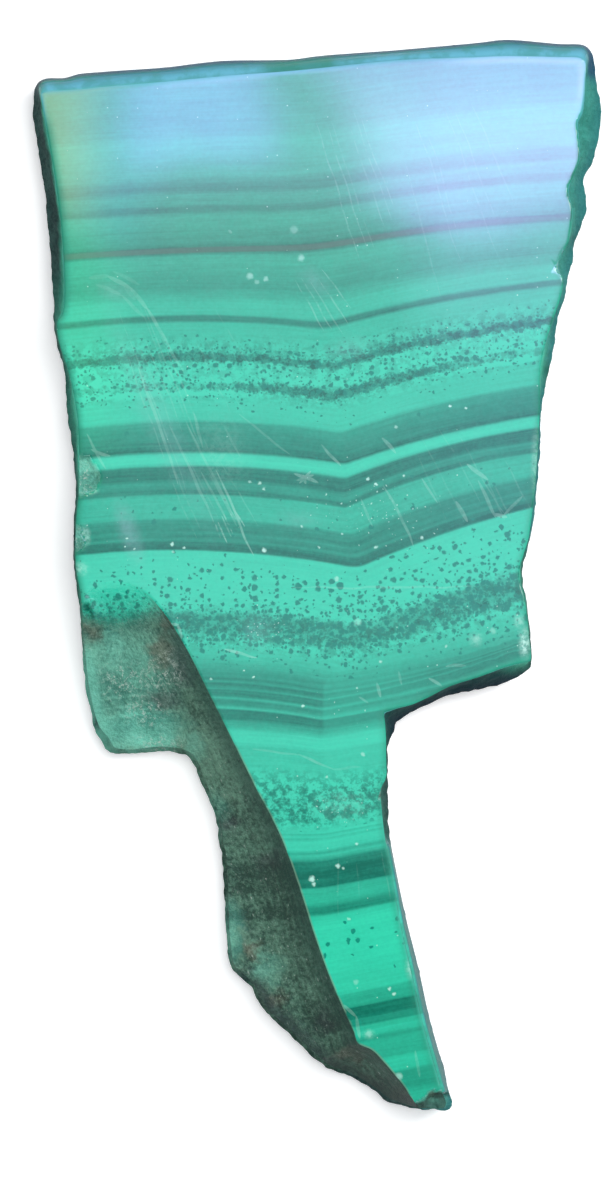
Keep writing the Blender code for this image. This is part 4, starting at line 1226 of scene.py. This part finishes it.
def stone_material(name):
    """A new material for the stone: itself, its shader and the place fields in it."""
    material, shader = new_material(name)
    shader.inputs["IOR"].default_value = STONE_IOR
    return material, shader, Place(material.node_tree)


def polished_material():
    material, shader, at = stone_material("malachite_polished")
    stone, _ = growth_layers(at)
    tint = mix_colours(at.y.rise(-27.0, -36.0), WHITE, TAIL_TINT)
    stone = stone.vector_math("MULTIPLY", tint)
    stone = mix_colours(veils(at), stone, VEIL_COLOUR)
    stone = lined_face(at, stone)
    marks = polish_marks(at)
    crisp = at.x.rise(-15.0, 0.0).at_least(at.y.rise(44.0, 48.0))
    gloss = at.from_edge.rise(0.0, 1.1).toward(at.from_edge.rise(-0.2, 0.5), crisp)
    sources = {
        "Base Color": mix_colours(marks, stone, MARK_COLOUR),
        "Roughness": POLISH_ROUGHNESS + marks * 0.35 + at.noise(3.0, 3.0) * 0.05,
        "Specular IOR Level": gloss * 0.42 + 0.08,
    }
    fill_inputs(shader, sources)
    return material


def broken_material():
    """Everything off the polished face: the edge, the sawn back, the scoop, the bite and the chips."""
    material, shader, at = stone_material("malachite_broken")
    stone, tone = growth_layers(at)
    sound = mix_colours(at.wall, lined_face(at, stone), rolled_stone(at, stone))
    fibres = noise_at(vector(at.tree, at.along_rim * 0.14, at.from_rim, at.z * 0.3), 0.30, 4.0, 0.7)
    fibred = at.from_rim.rise(7.0, 2.5) * (1.0 - at.wall)
    lumps = at.noise(1.6, 5.0, 0.65)
    grit = at.noise(0.4, 3.0, 0.7)
    grain = lumps.toward(fibres, fibred * 0.65) * 0.6 + grit * 0.4
    broken = broken_stone(at, stone, tone, lumps, grain, grit)
    under_break = patches(at.flat, BREAK_WALLS, 0.3) * at.z.rise(0.8, 2.6)
    # The edge's painted shade and light cover the walls, except below the break, where they keep the break's
    # colour.
    broken = mix_colours(at.wall * (1.0 - under_break * 0.85), broken, edge_stone(at, grain))
    relief = (fibres * fibred * 0.8 + grit * 0.7 + lumps) * at.raw
    bumps = {"Height": relief, "Strength": RELIEF_STRENGTH, "Distance": RELIEF_HEIGHT}
    slant = output_of(at.tree, "ShaderNodeBump", 0, bumps)
    roughness_added = grit * 0.2 + BROKEN_ROUGHNESS - SOUND_ROUGHNESS
    sources = {
        "Base Color": mix_colours(at.raw, sound, broken),
        "Roughness": roughness_added * at.raw + SOUND_ROUGHNESS,
        "Specular IOR Level": (0.4 - at.raw * 0.24) * (1.0 - at.wall * 0.9),
        "Normal": slant,
    }
    fill_inputs(shader, sources)
    return material


def flat_mesh(name, width, length, place):
    """A rectangle lying flat on the stage, round a middle point."""
    x, y = 0.5 * width * MM, 0.5 * length * MM
    mesh = bpy.data.meshes.new(name)
    mesh.from_pydata([(-x, -y, 0.0), (x, -y, 0.0), (x, y, 0.0), (-x, y, 0.0)], [], [(0, 1, 2, 3)])
    sheet = add_object(name, mesh)
    sheet.location = Vector(place) * MM
    return sheet


def build_floor():
    floor = flat_mesh("floor", FLOOR_SIZE, FLOOR_SIZE, (0.0, 0.0, 0.0))
    material, shader = new_material("pale_floor")
    sources = {
        "Base Color": FLOOR_COLOUR,
        "Roughness": 1.0,
        "Specular IOR Level": 0.0,
        "Emission Color": WHITE,
        "Emission Strength": FLOOR_GLOW,
    }
    fill_inputs(shader, sources)
    floor.data.materials.append(material)


def build_reflections():
    """A sheet over the stone that glows in soft patches, which only the polish mirrors."""
    spread = 1.0 + SHEET_HEIGHT / VIEW_HEIGHT
    sheet = flat_mesh("window", *SHEET_SIZE, (*VIEW_CENTRE, THICKNESS + SHEET_HEIGHT))
    material = bpy.data.materials.new("window")
    material.use_nodes = True
    tree = material.node_tree
    tree.nodes.clear()
    parts = parts_of(output_of(tree, "ShaderNodeTexCoord", "Object", {}), "ShaderNodeSeparateXYZ")
    x, y = (part * (1.0 / (MM * spread)) + middle for part, middle in zip(parts, VIEW_CENTRE))
    spot = vector(tree, x, y, 0.0)
    x = x + (noise_at(spot, 14.0, 2.0) - 0.5) * 8.0
    y = y + (noise_at(spot, 11.0, 2.0) - 0.5) * 6.0
    glow = (0.0, 0.0, 0.0)
    for x0, x1, soft_x, lean, y0, y1, soft_y, colour in REFLECTIONS:
        across = x + (y - LEAN_LEVEL) * lean
        sides = across.rise(x0, x0 + soft_x) * across.rise(x1, x1 - soft_x)
        fade = sides * y.rise(y0, y0 + soft_y) * y.rise(y1, y1 - soft_y)
        glow = fade.vector_math("MULTIPLY_ADD", colour, glow)
    light = output_of(tree, "ShaderNodeEmission", 0, {"Color": glow})
    clear = output_of(tree, "ShaderNodeBsdfTransparent", 0, {})
    both = output_of(tree, "ShaderNodeAddShader", 0, {0: light, 1: clear})
    make_node(tree, "ShaderNodeOutputMaterial", {"Surface": both})
    sheet.data.materials.append(material)
    sheet.visible_camera = False
    sheet.visible_diffuse = False
    sheet.visible_shadow = False


def area_light(name, place, size, watts, mirrored):
    light = bpy.data.lights.new(name, "AREA")
    light.shape = "DISK"
    light.size = size * MM
    light.energy = watts
    holder = add_object(name, light)
    holder.location = Vector(place) * MM
    holder.rotation_euler = (-Vector(place)).to_track_quat("-Z", "Y").to_euler()
    holder.visible_glossy = mirrored


def build_light():
    world = bpy.data.worlds.new("studio")
    world.use_nodes = True
    tree = world.node_tree
    height = parts_of(output_of(tree, "ShaderNodeTexCoord", "Generated", {}), "ShaderNodeSeparateXYZ")[2]
    colour = mix_colours(height.rise(0.95, 0.0), WORLD_HIGH, WORLD_LOW)
    fill_inputs(tree.nodes["Background"], {"Color": colour})
    bpy.context.scene.world = world
    for row in LIGHTS:
        area_light(*row)
    build_reflections()


def build_camera():
    camera = bpy.data.cameras.new("camera")
    camera.sensor_width = SENSOR
    camera.lens = SENSOR * VIEW_HEIGHT / VIEW_LENGTH
    camera.clip_end = CLIP_END
    holder = add_object("camera", camera)
    holder.location = Vector((*VIEW_CENTRE, THICKNESS + VIEW_HEIGHT)) * MM
    bpy.context.scene.camera = holder


stone = build_stone()
stone.data.materials.append(polished_material())
stone.data.materials.append(broken_material())
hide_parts(CAD_NODE)
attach(stone, "root")
build_floor()
build_light()
build_camera()
bpy.context.scene.view_settings.view_transform = "Standard"
